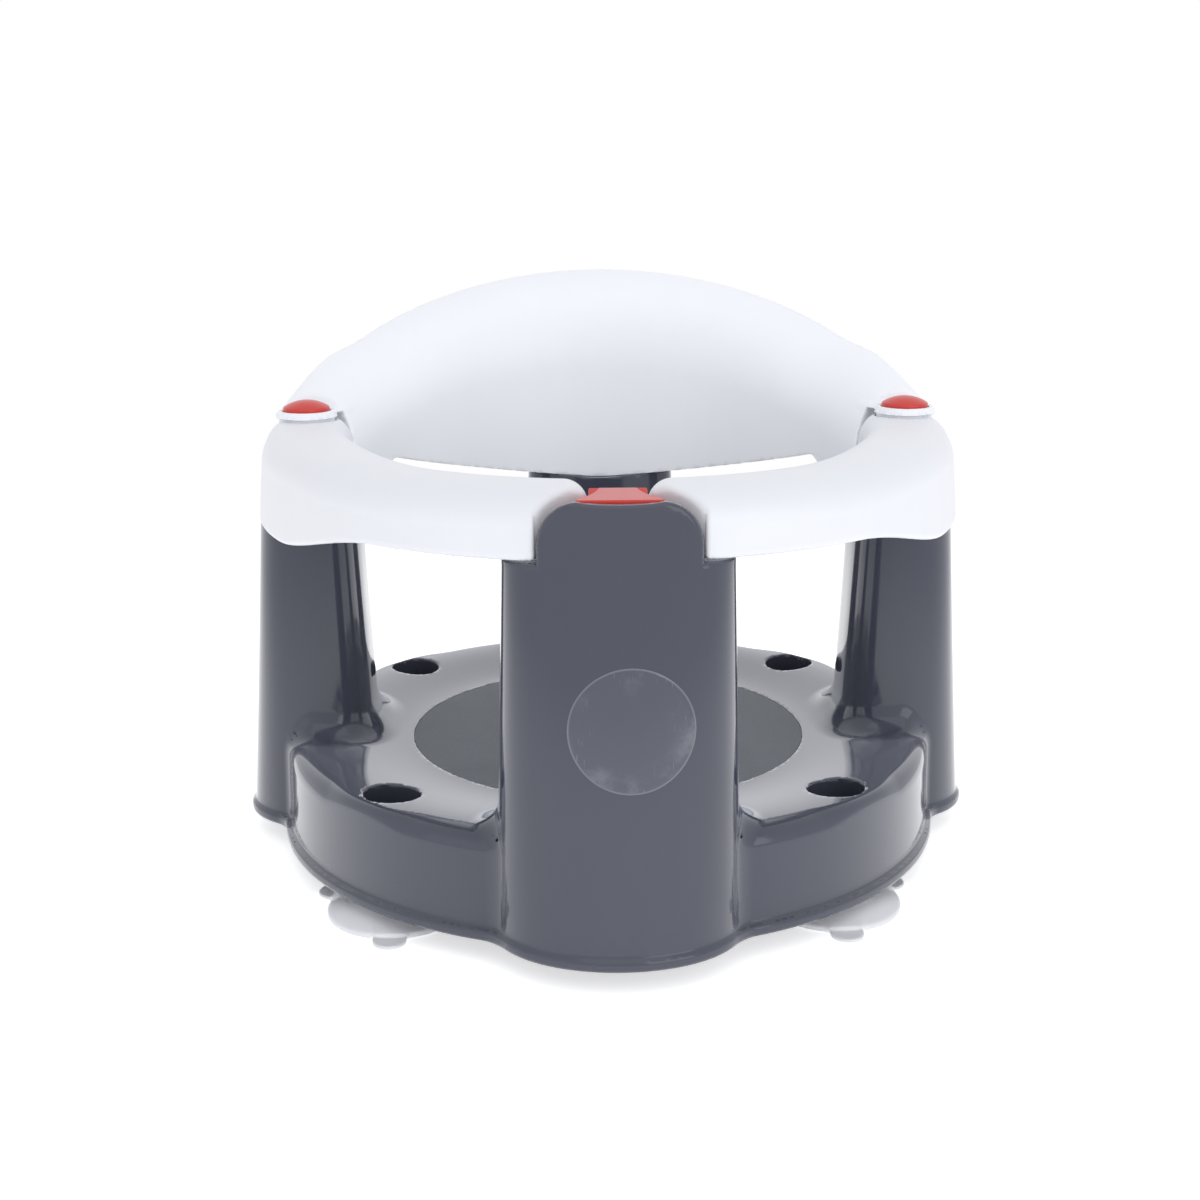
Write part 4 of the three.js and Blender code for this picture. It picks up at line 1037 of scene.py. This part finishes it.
def clearFilm():  # painted highlight, a paler colour along its rim and in noisy patches over its outer half
    material, tree, inputs, colour, marks = toned("clearFilm", film)
    flat = worked(tree, "VectorMath", "MULTIPLY", add(tree, "TexCoord").outputs["Object"], (1, 0, 1))[0]
    away = worked(tree, "VectorMath", "DISTANCE", flat, (label["x"] * mm, 0, label["z"] * mm))["Value"]
    radius = label["radius"]
    # painted highlight: the rim band and the outer patches are blended towards a paler colour
    rim = spread(tree, away, *((radius - inset) * mm for inset in film["rim"]), 0.0, film["rimHighlight"])
    highlightPatches = spread(tree, away, film["patchFrom"] * radius * mm, radius * mm, 0.0, film["patchHighlight"])
    paintedHighlight = sums(tree, "MAXIMUM", rim, sums(tree, "MULTIPLY", highlightPatches, marks))
    put(tree, blended(tree, paintedHighlight, colour, (*film["paintedHighlight"], 1)), inputs["Base Color"])
    fix(inputs, {"Coat Weight": film["coat"]})
    return material


materials = {name: mouldedPlastic(name) for name in finishes}
materials.update({"zincSteel": brightSteel(), "clearFilm": clearFilm()})
print("stage: materials", len(materials))


def dress(piece, material, body, slot, *nodes):
    piece.data.materials.clear()
    piece.data.materials.append(materials[material])
    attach(piece, body)
    if nodes:
        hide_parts(*nodes)


def dressSteel(piece, node):
    dress(piece, "zincSteel", "seat", "steel", node)


dress(baseShell, "greyMoulding", "seat", "base", "base_shell")
dress(seatMat, "mattePad", "seat", "mat", "seat_mat")
dress(roundLabel, "clearFilm", "seat", "base")
# the backrest takes the paler white with painted light, the arms the plain white moulding
dress(backrest, "paintedLitWhite", "seat", "white", "backrest")
dress(rightArm, "whiteMoulding", "right_arm", "white", "right_arm")
dress(leftArm, "whiteMoulding", "left_arm", "white", "left_arm")
for side in hinges:
    dress(buttons[side + "ButtonCap"], "redMoulding", side + "_button", "red", side + "_button")
    dress(pins[side + "LockPin"], "zincSteel", side + "_button", "steel", side + "_lock_pin")
    dressSteel(springs[side + "ButtonCoil"], side + "_button_spring")
    dressSteel(washers[side + "Washer"], side + "_hinge_washer")
    dressSteel(screws[side + "HingeScrew"], side + "_hinge_screw")
    dressSteel(screws[side + "CarrierScrew"], "latch_carrier_screw_" + side)
    for end in ("rear", "side"):
        dressSteel(screws[end + side.capitalize() + "BackrestScrew"], "backrest_screw_" + end + "_" + side)
dress(latchButton, "redMoulding", "front_latch", "red", "front_latch")
dress(latchCarrier, "innerMoulding", "seat", "inner", "latch_carrier")
dressSteel(latchCoil, "latch_spring")
for place, piece in cups.items():
    dress(piece, "milkySilicone", "suction_cup_" + place, "cup", "suction_cup_" + place)
for side, x in hinges.items():
    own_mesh(springs[side + "ButtonCoil"])
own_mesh(latchCoil)
print("stage: dressed")

studio = {
    "floorReach": 1.6, "floorFade": (0.405, 0.9), "sky": 0.84, "tint": (0.96, 0.97, 1.0), "aim": (0, 0, 0.12)
}
floorLook = {
    "Base Color": (0.9, 0.9, 0.9, 1), "Roughness": 0.6, "Specular IOR Level": 0.2,
    "Emission Color": (1, 1, 1, 1), "Emission Strength": 0.58
}
lamps = {
    "keyRight": ((1.35, -1.9, 0.95), 1.5, 9.0), "fillLeft": ((-1.7, -1.5, 0.8), 1.3, 1.0),
    "overhead": ((0.1, -0.9, 1.9), 1.8, 4.0)
}


def makeFloor():
    bpy.ops.mesh.primitive_plane_add(size=2 * studio["floorReach"])
    plane = bpy.context.object
    plane.name = "studioFloor"
    material, tree, inputs = startMaterial("paleFloor")
    fix(inputs, floorLook)
    away = worked(tree, "VectorMath", "LENGTH", add(tree, "TexCoord").outputs["Object"])["Value"]
    mixShader = tree.nodes.new("ShaderNodeMixShader")
    clear = tree.nodes.new("ShaderNodeBsdfTransparent")
    put(tree, spread(tree, away, *studio["floorFade"], 0.0, 1.0), mixShader.inputs[0])
    put(tree, tree.nodes["Principled BSDF"].outputs[0], mixShader.inputs[1])
    put(tree, clear.outputs[0], mixShader.inputs[2])
    put(tree, mixShader.outputs[0], tree.nodes["Material Output"].inputs["Surface"])
    plane.data.materials.append(material)


def makeWorld():  # white to the camera and in reflections, a little lower and cooler as light
    world = bpy.data.worlds.new("whiteStudio")
    bpy.context.scene.world = world
    world.use_nodes = True
    tree = world.node_tree
    sky = tree.nodes["Background"]
    path = add(tree, "LightPath").outputs
    seen = sums(tree, "MAXIMUM", path["Is Camera Ray"], sums(tree, "MAXIMUM", path["Is Glossy Ray"],
                                                            path["Is Transmission Ray"]))
    put(tree, spread(tree, seen, 0.0, 1.0, studio["sky"], 1.0), sky.inputs["Strength"])
    tinted = blended(tree, path["Is Camera Ray"], (*studio["tint"], 1), (1, 1, 1, 1))
    put(tree, tinted, sky.inputs["Color"])


def makeLamp(name, place, size, power):
    data = bpy.data.lights.new(name, "AREA")
    data.color = studio["tint"]
    data.size = size
    data.energy = power
    aim = Vector(studio["aim"]) - Vector(place)
    obj = linked(name, data)
    obj.matrix_world = Matrix.Translation(place) @ aim.to_track_quat("-Z", "Y").to_matrix().to_4x4()


makeFloor()
makeWorld()
for name, (place, size, power) in lamps.items():
    makeLamp(name, place, size, power)
bpy.context.scene.view_settings.view_transform = "Standard"
print("stage: studio")
